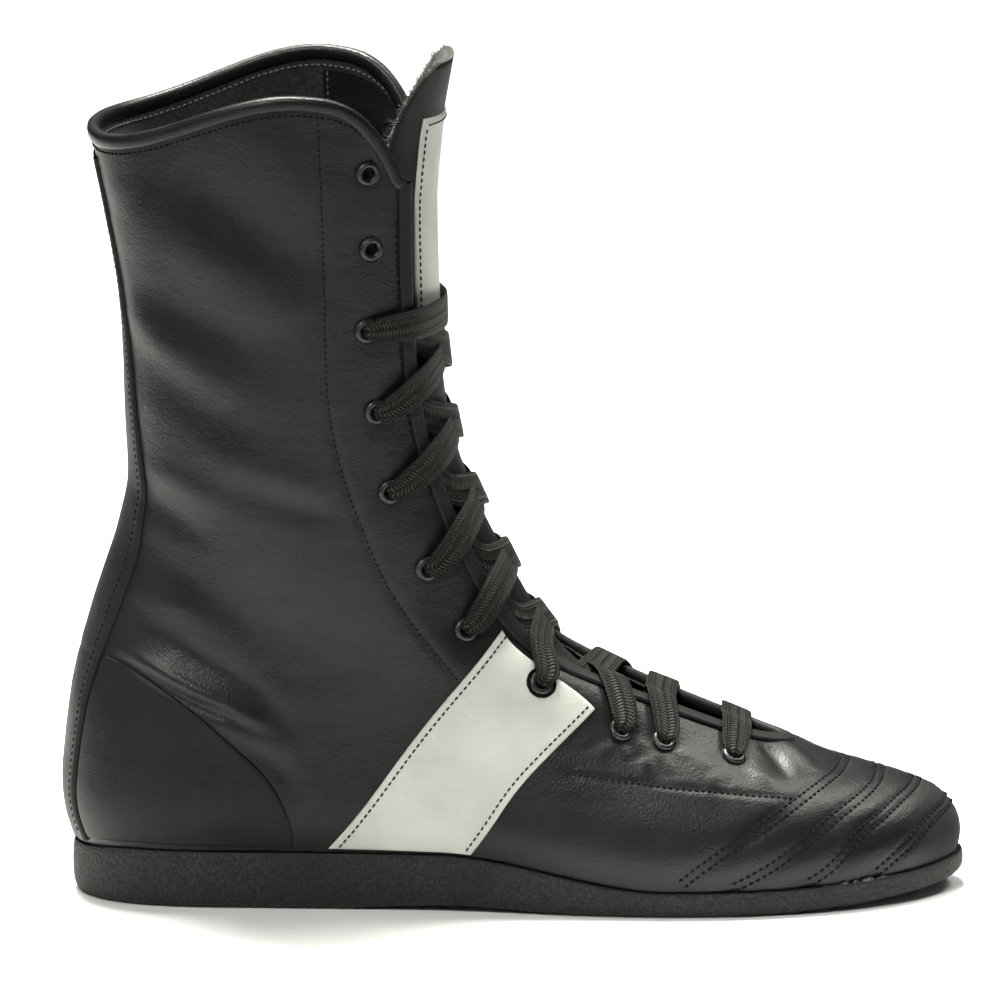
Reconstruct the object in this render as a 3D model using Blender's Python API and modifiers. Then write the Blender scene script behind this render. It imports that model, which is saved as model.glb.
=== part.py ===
"""Right-foot high-top boxing shoe: leather upper on a thin rubber wedge sole.

Every piece is shaped from one last, a stack of slanted sections from the feather edge to the collar.
Sizes are millimetres and the meshes are written in metres. Toe +X, lateral side -Y, up +Z.
"""

import math
from collections import namedtuple
from functools import lru_cache

import bmesh
import bpy
import numpy as np
from mathutils import Matrix, Vector
from mathutils.bvhtree import BVHTree

MM = 0.001
LATERAL = -1
MEDIAL = 1
SIDE_NAMES = {LATERAL: "lateral", MEDIAL: "medial"}

# Walls, gaps and trim
WALL = 2.0
FIT_GAP = 0.3
TRIM_GAP = 0.5
TRIM_LEATHER = 0.9
LASTING_MARGIN = 8.0
COLLAR_LEG = 4.2
THROAT_LEG = 3.6
THROAT_GAP = 0.6
BINDING_CROWN = 0.4
BACKSTAY_HALF = 16.5
BACKSTAY_LOW = 0.15
BACKSTAY_HIGH = 11.85

# Outsole and insole
HEEL_THICKNESS = 18.7
FORE_THICKNESS = 8.0
WEDGE_START = 122.0
WEDGE_END = 196.0
HEEL_DIP = 2.2
HEEL_DIP_LENGTH = 24.0
ARCH_RISE = 1.8
ARCH_START = 84.0
ARCH_END = 172.0
SPRING_START = 205.0
SPRING_RISE = 5.0
SPRING_TOP_SHARE = 0.75
SOLE_TIP = 293.0
SOLE_MARGIN_HEEL = 1.0
SOLE_MARGIN_FORE = 1.9
SOLE_BULGE = 0.4
SOLE_BULGE_SHARE = 0.6
MARGIN_START = 100.0
MARGIN_END = 200.0
SOLE_EDGE_RISE = 3.0
SOLE_EDGE_INSET = 2.2
INSOLE_THICKNESS = 3.0
INSOLE_LEVEL = 0.1
INSOLE_INSET = 3.0

# Sections of the last, one row a section: ends on the centre plane, half widths at even turns of the
# outline from heel to toe, share of the medial arch hollow, half opening of the throat
Section = namedtuple("Section", "back_x back_z front_x front_z heel_edge heel waist ball toe arch gap")
LAST = (
    Section(5.2, 17.3, 290.5, 11.5, 27.5, 33.5, 41.0, 46.3, 30.5, 1.00, 0.0),
    Section(1.5, 32.0, 291.5, 18.5, 30.5, 36.0, 42.5, 47.5, 31.0, 0.92, 0.0),
    Section(2.1, 50.0, 288.0, 28.0, 29.5, 35.5, 40.0, 43.5, 26.5, 0.65, 0.0),
    Section(4.3, 68.0, 276.0, 35.5, 27.0, 34.5, 37.0, 36.3, 19.5, 0.33, 0.0),
    Section(8.3, 85.0, 256.0, 41.5, 24.0, 33.5, 35.0, 30.5, 15.5, 0.12, 4.0),
    Section(13.3, 102.0, 234.0, 50.0, 21.5, 32.8, 34.5, 27.0, 13.0, 0.00, 9.0),
    Section(18.3, 117.0, 201.0, 63.5, 20.5, 33.5, 35.5, 27.5, 13.5, 0.00, 15.0),
    Section(21.8, 131.0, 172.0, 78.0, 21.0, 34.2, 37.0, 29.5, 15.0, 0.00, 19.5),
    Section(22.7, 141.0, 155.0, 101.5, 21.0, 34.7, 38.3, 31.8, 17.0, 0.00, 23.5),
    Section(21.8, 160.0, 140.5, 129.5, 22.0, 35.4, 39.5, 33.8, 19.0, 0.00, 25.0),
    Section(21.3, 181.0, 130.5, 161.0, 23.5, 36.2, 40.5, 35.5, 20.8, 0.00, 26.0),
    Section(18.3, 211.0, 127.5, 200.0, 26.0, 38.0, 42.5, 37.5, 22.5, 0.00, 27.0),
    Section(10.5, 252.0, 127.5, 243.0, 28.0, 40.2, 45.5, 40.5, 24.5, 0.00, 28.5),
)
ARCH_HOLLOW = np.array((0.0, 3.0, 11.0, 3.5, 1.5))
TURNS = 6
TOP = len(LAST) - 1.0
THROAT_END = 5.0
THROAT_ROUND = 0.25
FACING_SHIFT_START = 0.6
SOLE_FOLLOW_ROWS = 4.0
TOE_SWING = 7.0
SWING_START = 150.0
COLLAR_RISE = 22.5
COLLAR_DROP = 25.5
COLLAR_PEAK = 0.62
COLLAR_FRONT = 0.885
COLLAR_ROWS = 2.0

# Levels of the upper's rows and columns on each half
LEVELS = (0, 0.5, 1.1, 1.8, 2.6, 3.4, 4.2, 5, 5.04, 5.12, 5.3, 5.7, 6.2, 6.6, 7, 7.4, 7.8, 8.5, 9.4, 10.3,
          11.2, 11.88, TOP)
HALF_COLUMNS = 16
WEDGE_COLUMNS = (7.5, 8.5, 9.5, 10.5)

# Eyelets, one row an eyelet from the collar down, in the side view
Spot = namedtuple("Spot", "x z")
EYELETS = (
    Spot(100.0, 244.0), Spot(101.0, 219.0), Spot(99.5, 192.0), Spot(102.6, 165.0), Spot(107.0, 138.5),
    Spot(119.0, 112.5), Spot(131.5, 92.0), Spot(155.7, 74.0), Spot(181.6, 58.5), Spot(195.5, 54.5),
    Spot(218.0, 48.5),
)
EYELET_RADIUS = 4.0
EYELET_BORE = 2.0
EYELET_BARREL = 2.6
EYELET_FLANGE = 0.9
PUNCH_RADIUS = 3.0
SADDLE_PUNCH_RADIUS = 4.8
SADDLE_EYELET_ROW = 7
EYELET_STEPS = 8
PUNCH_REACH = 7.0
LAY_REACH = 6.0

# Overlays, as edge lines in the side view from the sole upwards
COUNTER_EDGE = (Spot(75.5, 20.5), Spot(74.0, 31.0), Spot(67.0, 44.0), Spot(56.0, 54.5), Spot(43.0, 65.5),
                Spot(28.5, 75.0), Spot(19.5, 79.5))
COUNTER_TOP_Z = 80.5
COUNTER_SEAM = 0.9
COUNTER_ROWS = 10
COUNTER_COLUMNS = 10
COUNTER_GAP = 0.7
SADDLE_GAP = 0.7
SADDLE_ROWS = 12
SADDLE_COLUMNS = 8
SADDLE_REAR = (Spot(87.0, 20.5), Spot(101.0, 38.0), Spot(118.0, 61.0), Spot(143.0, 90.5))
SADDLE_FRONT = (Spot(133.0, 19.5), Spot(141.0, 31.0), Spot(152.0, 45.5), Spot(173.0, 65.0))

# Tongue, one row a level of the last: half width and forward lean
TongueRow = namedtuple("TongueRow", "level half_width lean")
TONGUE = (
    TongueRow(4.2, 17.0, 0.0), TongueRow(4.55, 19.0, 0.0), TongueRow(4.9, 21.0, 0.0),
    TongueRow(5.6, 24.0, 0.0), TongueRow(6.4, 26.5, 0.0), TongueRow(7.2, 28.5, 0.0),
    TongueRow(8.0, 30.0, 0.0), TongueRow(9.0, 31.5, 0.0), TongueRow(10.0, 32.5, 0.0),
    TongueRow(11.0, 33.0, 0.0), TongueRow(11.7, 33.0, 0.2), TongueRow(12.2, 32.0, 2.0),
    TongueRow(12.5, 29.5, 4.0), TongueRow(12.7, 25.0, 5.4), TongueRow(12.82, 17.0, 6.2),
)
TONGUE_COLUMNS = 8
TONGUE_THICKNESS = 2.4
TONGUE_SEWN_CLEAR = 0.4
TONGUE_CLEAR = 3.2
TONGUE_SEWN_LEVEL = 4.5
TONGUE_FREE_LEVEL = 4.85
TONGUE_TOP_CLEAR = 1.2
TONGUE_TOP_LEVEL = 10.6
PATCH_LOW = 10.86
PATCH_HIGH = 12.28
PATCH_HALF = 21.0
PATCH_ROWS = 5
PATCH_COLUMNS = 8

# Lace
LACE_WIDTH = 8.0
LACE_THICKNESS = 1.2
LACE_LIFT = 1.9
LACE_EDGE_LIFT = 3.1
LACE_EDGE_REACH = 1.4
LACE_TONGUE_LIFT = 2.1
LACE_OVERLAP = 0.45
LACE_END_INSET = 7.0
LACE_STEPS = 2
LACE_EDGE_SHARE = 0.22
LACE_MIDDLE_SHARE = 0.53
LACE_END_SHARE = 0.75
BAR_TOP_ROW = 2
BAR_TOP_DROP = 0.03
BAR_TOP_DEPTH = 4.4
BAR_LOW_ROW = 10
FIRST_CROSS_ROW = 3
LAST_CROSS_ROW = 9

# Place of the part: centre of the box over the floor
CENTRE_X = 146.5
CENTRE_Y = -0.4

Finish = namedtuple("Finish", "colour roughness metallic")
BLACK_LEATHER = Finish((0.028, 0.028, 0.027), 0.42, 0.0)
WHITE_LEATHER = Finish((0.66, 0.66, 0.62), 0.48, 0.0)
BLACK_RUBBER = Finish((0.024, 0.025, 0.024), 0.85, 0.0)
BLACK_LACE = Finish((0.035, 0.030, 0.027), 0.9, 0.0)
BLACK_ENAMEL = Finish((0.012, 0.012, 0.012), 0.3, 0.0)
INSOLE_FABRIC = Finish((0.10, 0.095, 0.09), 0.9, 0.0)


def clear_scene():
    """Remove every object that the file starts with."""
    for item in list(bpy.data.objects):
        bpy.data.objects.remove(item, do_unlink=True)


def ease(value):
    """Smooth step from 0 to 1."""
    value = min(1.0, max(0.0, value))
    return value * value * (3.0 - 2.0 * value)


def spline_slopes(values):
    """Slopes of a natural cubic spline through evenly spaced rows of values."""
    count = len(values)
    system = np.diag(np.full(count, 4.0)) + np.eye(count, k=1) + np.eye(count, k=-1)
    system[0, 0] = 2.0
    system[-1, -1] = 2.0
    steps = np.zeros_like(values)
    steps[1:-1] = 3.0 * (values[2:] - values[:-2])
    steps[0] = 3.0 * (values[1] - values[0])
    steps[-1] = 3.0 * (values[-1] - values[-2])
    return np.linalg.solve(system, steps)


def spline_value(values, slopes, place):
    """Value of the spline at a row number, carried straight on beyond the ends."""
    last = len(values) - 1
    if place <= 0.0:
        return values[0] + slopes[0] * place
    if place >= last:
        return values[last] + slopes[last] * (place - last)
    low = int(place)
    u = place - low
    rise = values[low + 1] - values[low]
    a = slopes[low] - rise
    b = rise - slopes[low + 1]
    return values[low] + u * rise + u * (1.0 - u) * ((1.0 - u) * a + u * b)


LAST_VALUES = np.array(LAST, dtype=float)
LAST_SLOPES = spline_slopes(LAST_VALUES)
NUMBERS = np.arange(1, TURNS)
SINES = (2.0 / TURNS) * np.sin(np.pi * np.outer(NUMBERS, NUMBERS) / TURNS)


@lru_cache(maxsize=None)
def section(level):
    """Section of the last at a level, with the sine terms of both half outlines."""
    row = Section(*spline_value(LAST_VALUES, LAST_SLOPES, level))
    widths = np.array((row.heel_edge, row.heel, row.waist, row.ball, row.toe))
    hollow = max(0.0, row.arch) * ARCH_HOLLOW
    return row, {LATERAL: SINES @ widths, MEDIAL: SINES @ (widths - hollow)}


def half_width(side, turn, level):
    """Half width of the section at a turn of its outline, 0 at the back and pi at the front."""
    return float(section(level)[1][side] @ np.sin(NUMBERS * turn))


def sole_bottom(x):
    """Height of the tread along the sole."""
    arch = 0.0
    if ARCH_START < x < ARCH_END:
        arch = ARCH_RISE * math.sin(math.pi * (x - ARCH_START) / (ARCH_END - ARCH_START)) ** 2
    spring = max(0.0, (x - SPRING_START) / (SOLE_TIP - SPRING_START))
    return arch + SPRING_RISE * spring ** 2


def sole_top(x):
    """Height of the sole's upper face along the wedge."""
    wedge = ease((x - WEDGE_START) / (WEDGE_END - WEDGE_START))
    spring = max(0.0, (x - SPRING_START) / (SOLE_TIP - SPRING_START))
    dip = HEEL_DIP * (1.0 - ease(x / HEEL_DIP_LENGTH))
    thickness = HEEL_THICKNESS + (FORE_THICKNESS - HEEL_THICKNESS) * wedge
    return thickness + SPRING_RISE * SPRING_TOP_SHARE * spring ** 2 - dip


def collar_rise(across):
    """Rise of the collar edge above a straight line, from the back to the facing."""
    if across < COLLAR_PEAK:
        return COLLAR_RISE * (1.0 - (1.0 - across / COLLAR_PEAK) ** 1.5)
    return COLLAR_RISE - COLLAR_DROP * ((across - COLLAR_PEAK) / (COLLAR_FRONT - COLLAR_PEAK)) ** 3.2


def swing(x):
    """Curve of the centre line towards the big toe."""
    return TOE_SWING * max(0.0, (x - SWING_START) / (SOLE_TIP - SWING_START)) ** 2


def last_point(side, turn, level, collar=True):
    """Point on the last's surface."""
    row = section(level)[0]
    across = (1.0 - math.cos(turn)) / 2.0
    x = row.back_x + (row.front_x - row.back_x) * across
    z = row.back_z + (row.front_z - row.back_z) * across
    if level < SOLE_FOLLOW_ROWS:
        foot = LAST[0]
        chord = foot.back_z + (foot.front_z - foot.back_z) * across
        z += (sole_top(x) + FIT_GAP - chord) * (1.0 - level / SOLE_FOLLOW_ROWS) ** 2
    if collar and level > TOP - COLLAR_ROWS:
        share = ((level - TOP + COLLAR_ROWS) / COLLAR_ROWS) ** 1.5
        z += collar_rise(min(across, COLLAR_FRONT)) * share
    return Vector((x, side * half_width(side, turn, level) + swing(x), z))


def last_normal(side, turn, level, collar=True):
    """Outward direction of the last's surface."""
    step = 0.004
    low = max(level - step, 0.0)
    along = last_point(side, turn + step, level, collar) - last_point(side, turn - step, level, collar)
    up = last_point(side, turn, level + step, collar) - last_point(side, turn, low, collar)
    return (along.cross(up) * -side).normalized()


def skin(side, turn, level, lift=0.0, collar=True):
    """Point at a height above the last's surface."""
    return last_point(side, turn, level, collar) + last_normal(side, turn, level, collar) * lift


def turn_at_width(side, level, width, front=True):
    """Turn of the outline where it is the given half width, on its front or back part."""
    wide, narrow = (math.pi * 0.5, math.pi) if front else (math.pi * 0.5, 0.0)
    for _ in range(48):
        middle = (wide + narrow) / 2.0
        if half_width(side, middle, level) > width:
            wide = middle
        else:
            narrow = middle
    return (wide + narrow) / 2.0


@lru_cache(maxsize=None)
def throat_gap(level):
    """Half opening of the throat, rounded at its lower end."""
    if level <= THROAT_END:
        return 0.0
    closed = 1.0 - min(1.0, (level - THROAT_END) / THROAT_ROUND)
    return section(level)[0].gap * math.sqrt(1.0 - closed ** 2)


@lru_cache(maxsize=None)
def throat_turn(side, level):
    """Turn at which a half outline meets the throat edge or the front of the toe."""
    if level <= THROAT_END:
        return math.pi
    return turn_at_width(side, level, throat_gap(level))


def column_turn(side, share, level):
    """Turn of a column of the upper, drawn back towards the throat edge at the front."""
    drawn = max(0.0, (share - FACING_SHIFT_START) / (1.0 - FACING_SHIFT_START))
    return math.pi * share - (math.pi - throat_turn(side, level)) * drawn


@lru_cache(maxsize=None)
def search_grid(side):
    """Coarse side view of the last, to start the search for a spot."""
    found = []
    for level in np.linspace(0.0, TOP, 61):
        for turn in np.linspace(0.0, math.pi, 61):
            spot = last_point(side, float(turn), float(level))
            found.append((spot.x, spot.z, float(turn), float(level)))
    return np.array(found)


def locate(side, x, z):
    """Turn and level of the surface under a spot of the side view."""
    grid = search_grid(side)
    best = np.argmin((grid[:, 0] - x) ** 2 + (grid[:, 1] - z) ** 2)
    turn, level = float(grid[best, 2]), float(grid[best, 3])
    step = 0.001
    for _ in range(30):
        here = last_point(side, turn, level)
        by_turn = (last_point(side, turn + step, level) - here) / step
        by_level = (last_point(side, turn, level + step) - here) / step
        slope = np.array(((by_turn.x, by_level.x), (by_turn.z, by_level.z)))
        change = np.linalg.solve(slope, np.array((x - here.x, z - here.z)))
        turn = min(math.pi, max(0.01, turn + float(np.clip(change[0], -0.1, 0.1))))
        level = min(TOP, max(0.0, level + float(np.clip(change[1], -0.3, 0.3))))
    return turn, level


def edge_line(spots, count):
    """Evenly numbered spots on a smooth line through the given ones."""
    values = np.array(spots, dtype=float)
    slopes = spline_slopes(values)
    places = np.linspace(0.0, len(spots) - 1.0, count)
    return [Spot(*spline_value(values, slopes, place)) for place in places]


def in_metres(point):
    """Place of a point in the part's frame."""
    return Vector((point.x - CENTRE_X, point.y - CENTRE_Y, point.z)) * MM


def add_object(name, mesh, finish, home):
    """Object with its own finish, in a collection."""
    part = bpy.data.objects.new(name, mesh)
    home.objects.link(part)
    if finish is not None and not mesh.materials:
        material = bpy.data.materials.new(name + "_finish")
        material.use_nodes = True
        shader = material.node_tree.nodes["Principled BSDF"]
        shader.inputs["Base Color"].default_value = (*finish.colour, 1.0)
        shader.inputs["Roughness"].default_value = finish.roughness
        shader.inputs["Metallic"].default_value = finish.metallic
        mesh.materials.append(material)
    return part


def finish_mesh(name, shape, smooth=True):
    """Mesh from an edited shape, with doubled points joined."""
    bmesh.ops.remove_doubles(shape, verts=shape.verts, dist=0.00001)
    mesh = bpy.data.meshes.new(name)
    shape.to_mesh(mesh)
    shape.free()
    mesh.polygons.foreach_set("use_smooth", [smooth] * len(mesh.polygons))
    mesh.update()
    return mesh


def triangles(rows):
    """Corner numbers of the triangles through rows of points, split along the shorter diagonals."""
    points = [point for row in rows for point in row]
    count = len(rows[0])
    faces = []
    for low in range(0, count * (len(rows) - 1), count):
        for a in range(low, low + count - 1):
            b, c, d = a + 1, a + count + 1, a + count
            if (points[a] - points[c]).length <= (points[b] - points[d]).length:
                faces += [(a, b, c), (a, c, d)]
            else:
                faces += [(a, b, d), (b, c, d)]
    return points, faces


def sheet(name, rows, finish, home, thickness, outwards):
    """Leather sheet through rows of points, thickened with Solidify to one side."""
    shape = bmesh.new()
    points, faces = triangles(rows)
    corners = [shape.verts.new(in_metres(point)) for point in points]
    for face in faces:
        shape.faces.new([corners[number] for number in face])
    part = add_object(name, finish_mesh(name, shape), finish, home)
    solid = part.modifiers.new("wall", "SOLIDIFY")
    solid.thickness = thickness * MM
    solid.offset = 1.0 if outwards else -1.0
    solid.use_even_offset = False
    solid.use_quality_normals = True
    return part


def loft(name, rings, finish, home):
    """Solid through closed rings of points, capped at both ends."""
    shape = bmesh.new()
    loops = [[shape.verts.new(in_metres(point)) for point in ring] for ring in rings]
    for first, second in zip(loops, loops[1:]):
        for here in range(len(first)):
            after = (here + 1) % len(first)
            shape.faces.new((first[here], first[after], second[after], second[here]))
    shape.faces.new(list(reversed(loops[0])))
    shape.faces.new(loops[-1])
    bmesh.ops.remove_doubles(shape, verts=shape.verts, dist=0.00001)
    bmesh.ops.dissolve_degenerate(shape, dist=0.000001, edges=shape.edges)
    bmesh.ops.recalc_face_normals(shape, faces=shape.faces)
    return add_object(name, finish_mesh(name, shape), finish, home)


def plan_normal(side, turn):
    """Outward direction of the feather edge in plan."""
    step = 0.01
    along = last_point(side, turn + step, 0.0) - last_point(side, turn - step, 0.0)
    return (Vector((along.y, -along.x, 0.0)) * -side).normalized()


def outline_point(side, turn, margin):
    """Feather edge in plan, moved outwards by a margin."""
    return last_point(side, turn, 0.0) + plan_normal(side, turn) * margin


def sole_ring(turn):
    """Cross ring of the outsole at one turn of its outline."""
    x = last_point(LATERAL, turn, 0.0).x
    fore = ease((x - MARGIN_START) / (MARGIN_END - MARGIN_START))
    margin = SOLE_MARGIN_HEEL + (SOLE_MARGIN_FORE - SOLE_MARGIN_HEEL) * fore
    halves = {}
    for side in (LATERAL, MEDIAL):
        rim = outline_point(side, turn, margin)
        belly = outline_point(side, turn, margin + SOLE_BULGE)
        tread = outline_point(side, turn, margin - SOLE_EDGE_INSET)
        top = sole_top(rim.x)
        low = sole_bottom(rim.x)
        halves[side] = (
            Vector((rim.x, rim.y, top)),
            Vector((belly.x, belly.y, low + (top - low) * SOLE_BULGE_SHARE)),
            Vector((rim.x, rim.y, low + SOLE_EDGE_RISE)),
            Vector((tread.x, tread.y, sole_bottom(tread.x))),
        )
    left, right = halves[LATERAL], halves[MEDIAL]
    top_middle = (left[0] + right[0]) / 2.0
    low_middle = (left[3] + right[3]) / 2.0
    return [*left, low_middle, *reversed(right), top_middle]


def half_shares():
    """Shares of a half outline at which every piece round the foot has its points, closer on the wedge."""
    numbers = sorted((*range(HALF_COLUMNS + 1), *WEDGE_COLUMNS))
    return [number / HALF_COLUMNS for number in numbers]


def outsole(home):
    """Rubber wedge under the whole foot."""
    rings = [sole_ring(math.pi * share) for share in half_shares()]
    return loft("outsole", rings, BLACK_RUBBER, home)


def insole_ring(turn):
    """Cross ring of the insole at one turn of its outline."""
    ring = []
    for side in (LATERAL, MEDIAL):
        rim = skin(side, turn, INSOLE_LEVEL, -INSOLE_INSET)
        low = sole_top(rim.x) + FIT_GAP + WALL + FIT_GAP
        pair = [Vector((rim.x, rim.y, low + INSOLE_THICKNESS)), Vector((rim.x, rim.y, low))]
        ring += pair if side == LATERAL else list(reversed(pair))
    return ring


def insole(home):
    """Flat insole on the lasting margin."""
    rings = [insole_ring(math.pi * share) for share in half_shares()]
    return loft("insole", rings, INSOLE_FABRIC, home)


def upper_columns():
    """Columns of the upper from the medial throat edge round the back to the lateral one."""
    shares = half_shares()
    return [(MEDIAL, share) for share in reversed(shares)] + [(LATERAL, share) for share in shares[1:]]


def lasting_edge():
    """Inner edge of the lasting margin under the foot."""
    edge = []
    for side, share in upper_columns():
        point = outline_point(side, column_turn(side, share, 0.0), -LASTING_MARGIN)
        edge.append(Vector((point.x, point.y, sole_top(point.x) + FIT_GAP)))
    return edge


def upper_rows():
    """Rows of points of the upper's outer face, above the lasting margin."""
    rows = []
    for level in LEVELS:
        rows.append([last_point(side, column_turn(side, share, level), level)
                     for side, share in upper_columns()])
    return rows


@lru_cache(maxsize=None)
def upper_face():
    """Outer face of the upper as flat triangles, to lay pieces on."""
    points, faces = triangles(upper_rows())
    return BVHTree.FromPolygons(points, faces, all_triangles=True)


def laid(side, turn, level, lift, collar=True):
    """Point at a height above the upper's outer face."""
    outward = last_normal(side, turn, level, collar)
    above = last_point(side, turn, level, collar) + outward * LAY_REACH
    hit = upper_face().ray_cast(above, -outward, 2.0 * LAY_REACH)[0]
    return hit + outward * lift


def eyelet_frames():
    """Side, row number, place and outward direction of every eyelet."""
    frames = []
    for side in (LATERAL, MEDIAL):
        for number, spot in enumerate(EYELETS):
            turn, level = locate(side, spot.x, spot.z)
            frames.append((side, number, last_point(side, turn, level), last_normal(side, turn, level)))
    return frames


def turned_to(direction):
    """Rotation that stands +Z along a direction."""
    return direction.to_track_quat("Z", "Y")


def punch(part, name, radius, rows, home):
    """Cut a round hole through a piece at each of the given eyelet rows."""
    shape = bmesh.new()
    for _, number, place, outward in eyelet_frames():
        if number in rows:
            stand = Matrix.Translation(in_metres(place)) @ turned_to(outward).to_matrix().to_4x4()
            bmesh.ops.create_cone(shape, cap_ends=True, segments=EYELET_STEPS, radius1=radius * MM,
                                  radius2=radius * MM, depth=2.0 * PUNCH_REACH * MM, matrix=stand)
    cut = part.modifiers.new("eyelet_holes", "BOOLEAN")
    cut.operation = "DIFFERENCE"
    cut.solver = "EXACT"
    cut.object = add_object(name, finish_mesh(name, shape, False), None, home)


def upper(home, cutters):
    """Hollow shell of the upper with its lasting margin and punched holes."""
    part = sheet("upper", [lasting_edge(), *upper_rows()], BLACK_LEATHER, home, WALL, False)
    punch(part, "eyelet_punch", PUNCH_RADIUS, range(len(EYELETS)), cutters)
    return part


def eyelets(home):
    """Flanged eyelets, turned from one profile and set in the facings."""
    top = TRIM_GAP + EYELET_FLANGE
    low = -(WALL + FIT_GAP)
    profile = ((EYELET_RADIUS, TRIM_GAP), (EYELET_BARREL, TRIM_GAP), (EYELET_BORE, low), (EYELET_BORE, top))
    shape = bmesh.new()
    points = [shape.verts.new((radius * MM, 0.0, height * MM)) for radius, height in profile]
    for first, second in zip(points, points[1:] + points[:1]):
        shape.edges.new((first, second))
    mesh = finish_mesh("eyelet", shape)
    parts = []
    for side, number, place, outward in eyelet_frames():
        name = f"eyelet_{SIDE_NAMES[side]}_{number + 1:02d}"
        part = add_object(name, mesh, BLACK_ENAMEL, home)
        part.location = in_metres(place)
        part.rotation_mode = "QUATERNION"
        part.rotation_quaternion = turned_to(outward)
        turned = part.modifiers.new("turned", "SCREW")
        turned.angle = math.tau
        turned.axis = "Z"
        turned.steps = EYELET_STEPS
        turned.render_steps = EYELET_STEPS
        turned.use_merge_vertices = True
        turned.merge_threshold = 0.00001
        parts.append(part)
    return parts


def binding_profile(leg, gap):
    """Folded strip round a leather edge: outward distance and distance beyond the edge."""
    out = gap + TRIM_LEATHER
    inner = -(WALL + out)
    return ((out, -leg), (out, gap), (-WALL / 2.0, out + BINDING_CROWN), (inner, gap), (inner, -leg),
            (inner + TRIM_LEATHER, -leg), (inner + TRIM_LEATHER, gap), (gap, gap), (gap, -leg))


def swept_binding(name, path, leg, gap, home):
    """Folded strip swept along an edge given as points, outward directions and edge directions."""
    profile = binding_profile(leg, gap)
    rings = []
    for point, outward, beyond in path:
        rings.append([point + outward * out + beyond * past for out, past in profile])
    return loft(name, rings, BLACK_LEATHER, home)


def edge_frames(spots, reference):
    """Points with outward directions and directions out over the edge."""
    points = [last_point(*spot) for spot in spots]
    frames = []
    for here, spot in enumerate(spots):
        before = points[max(here - 1, 0)]
        after = points[min(here + 1, len(points) - 1)]
        outward = last_normal(*spot)
        beyond = outward.cross(after - before).normalized()
        if beyond.dot(reference(*spot) - points[here]) < 0.0:
            beyond.negate()
        frames.append((points[here], outward, beyond))
    return frames


def collar_binding(home):
    """Rolled binding round the collar."""
    spots = [(side, column_turn(side, share, TOP), TOP) for side, share in upper_columns()]

    def above(side, turn, level):
        return last_point(side, turn, level) + Vector((0.0, 0.0, 1.0))

    return swept_binding("collar_binding", edge_frames(spots, above), COLLAR_LEG, TRIM_GAP, home)


def throat_binding(home):
    """Folded strip down one throat edge, round the lower end and up the other."""
    levels = [level for level in LEVELS if level >= THROAT_END]
    levels.remove(TOP)
    spots = [(MEDIAL, throat_turn(MEDIAL, level), level) for level in reversed(levels)]
    spots += [(LATERAL, throat_turn(LATERAL, level), level) for level in levels[1:]]

    def opening(side, turn, level):
        return last_point(side, math.pi, level + 0.2)

    return swept_binding("throat_binding", edge_frames(spots, opening), THROAT_LEG, THROAT_GAP, home)


def backstay(home):
    """Strip over the back seam, from the sole to the collar binding."""
    levels = [BACKSTAY_LOW] + [level for level in LEVELS if BACKSTAY_LOW < level < BACKSTAY_HIGH]
    levels.append(BACKSTAY_HIGH)
    rows = []
    for level in levels:
        row = []
        for side, part in ((MEDIAL, 1.0), (MEDIAL, 0.5), (LATERAL, 0.0), (LATERAL, 0.5), (LATERAL, 1.0)):
            reach = turn_at_width(side, level, BACKSTAY_HALF, False)
            turn = reach if part == 1.0 else 2.0 * part * math.pi / HALF_COLUMNS
            row.append(laid(side, turn, level, TRIM_GAP))
        rows.append(row)
    return sheet("backstay", rows, BLACK_LEATHER, home, TRIM_LEATHER, True)


def side_panel(name, side, starts, ends, columns, gap, finish, home):
    """Overlay between two edge lines given by turns and levels from the sole upwards."""
    rows = []
    for start, end in zip(starts, ends):
        row = []
        for number in range(columns + 1):
            share = number / columns
            turn = start[0] + (end[0] - start[0]) * share
            level = start[1] + (end[1] - start[1]) * share
            row.append(laid(side, turn, level, gap))
        rows.append(row if side == LATERAL else list(reversed(row)))
    return sheet(name, rows, finish, home, TRIM_LEATHER, True)


def counter(side, home):
    """Heel panel beside the backstay."""
    count = COUNTER_ROWS + 1
    ends = [locate(side, *spot) for spot in edge_line(COUNTER_EDGE, count)]
    starts = []
    for number in range(count):
        z = COUNTER_EDGE[0].z + (COUNTER_TOP_Z - COUNTER_EDGE[0].z) * number / COUNTER_ROWS
        level = 0.25
        for _ in range(40):
            turn = turn_at_width(side, level, BACKSTAY_HALF + COUNTER_SEAM, False)
            level += (z - last_point(side, turn, level).z) / 18.0
        starts.append((turn, level))
    name = "counter_" + SIDE_NAMES[side]
    return side_panel(name, side, starts, ends, COUNTER_COLUMNS, COUNTER_GAP, BLACK_LEATHER, home)


def saddle(side, home, cutters):
    """White side panel from the sole to the throat strip, cut out round one eyelet."""
    count = SADDLE_ROWS + 1
    name = "saddle_" + SIDE_NAMES[side]
    starts = [locate(side, *spot) for spot in edge_line(SADDLE_REAR, count)]
    ends = [locate(side, *spot) for spot in edge_line(SADDLE_FRONT, count)]
    part = side_panel(name, side, starts, ends, SADDLE_COLUMNS, SADDLE_GAP, WHITE_LEATHER, home)
    punch(part, name + "_punch", SADDLE_PUNCH_RADIUS, (SADDLE_EYELET_ROW,), cutters)
    return part


def tongue_depth(level):
    """Depth of the tongue's outer face under the last's surface."""
    free = ease((level - TONGUE_SEWN_LEVEL) / (TONGUE_FREE_LEVEL - TONGUE_SEWN_LEVEL))
    top = TONGUE_TOP_CLEAR * ease((level - TONGUE_TOP_LEVEL) / (TOP - TONGUE_TOP_LEVEL))
    return WALL + TONGUE_SEWN_CLEAR + (TONGUE_CLEAR - TONGUE_SEWN_CLEAR) * free + top


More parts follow.
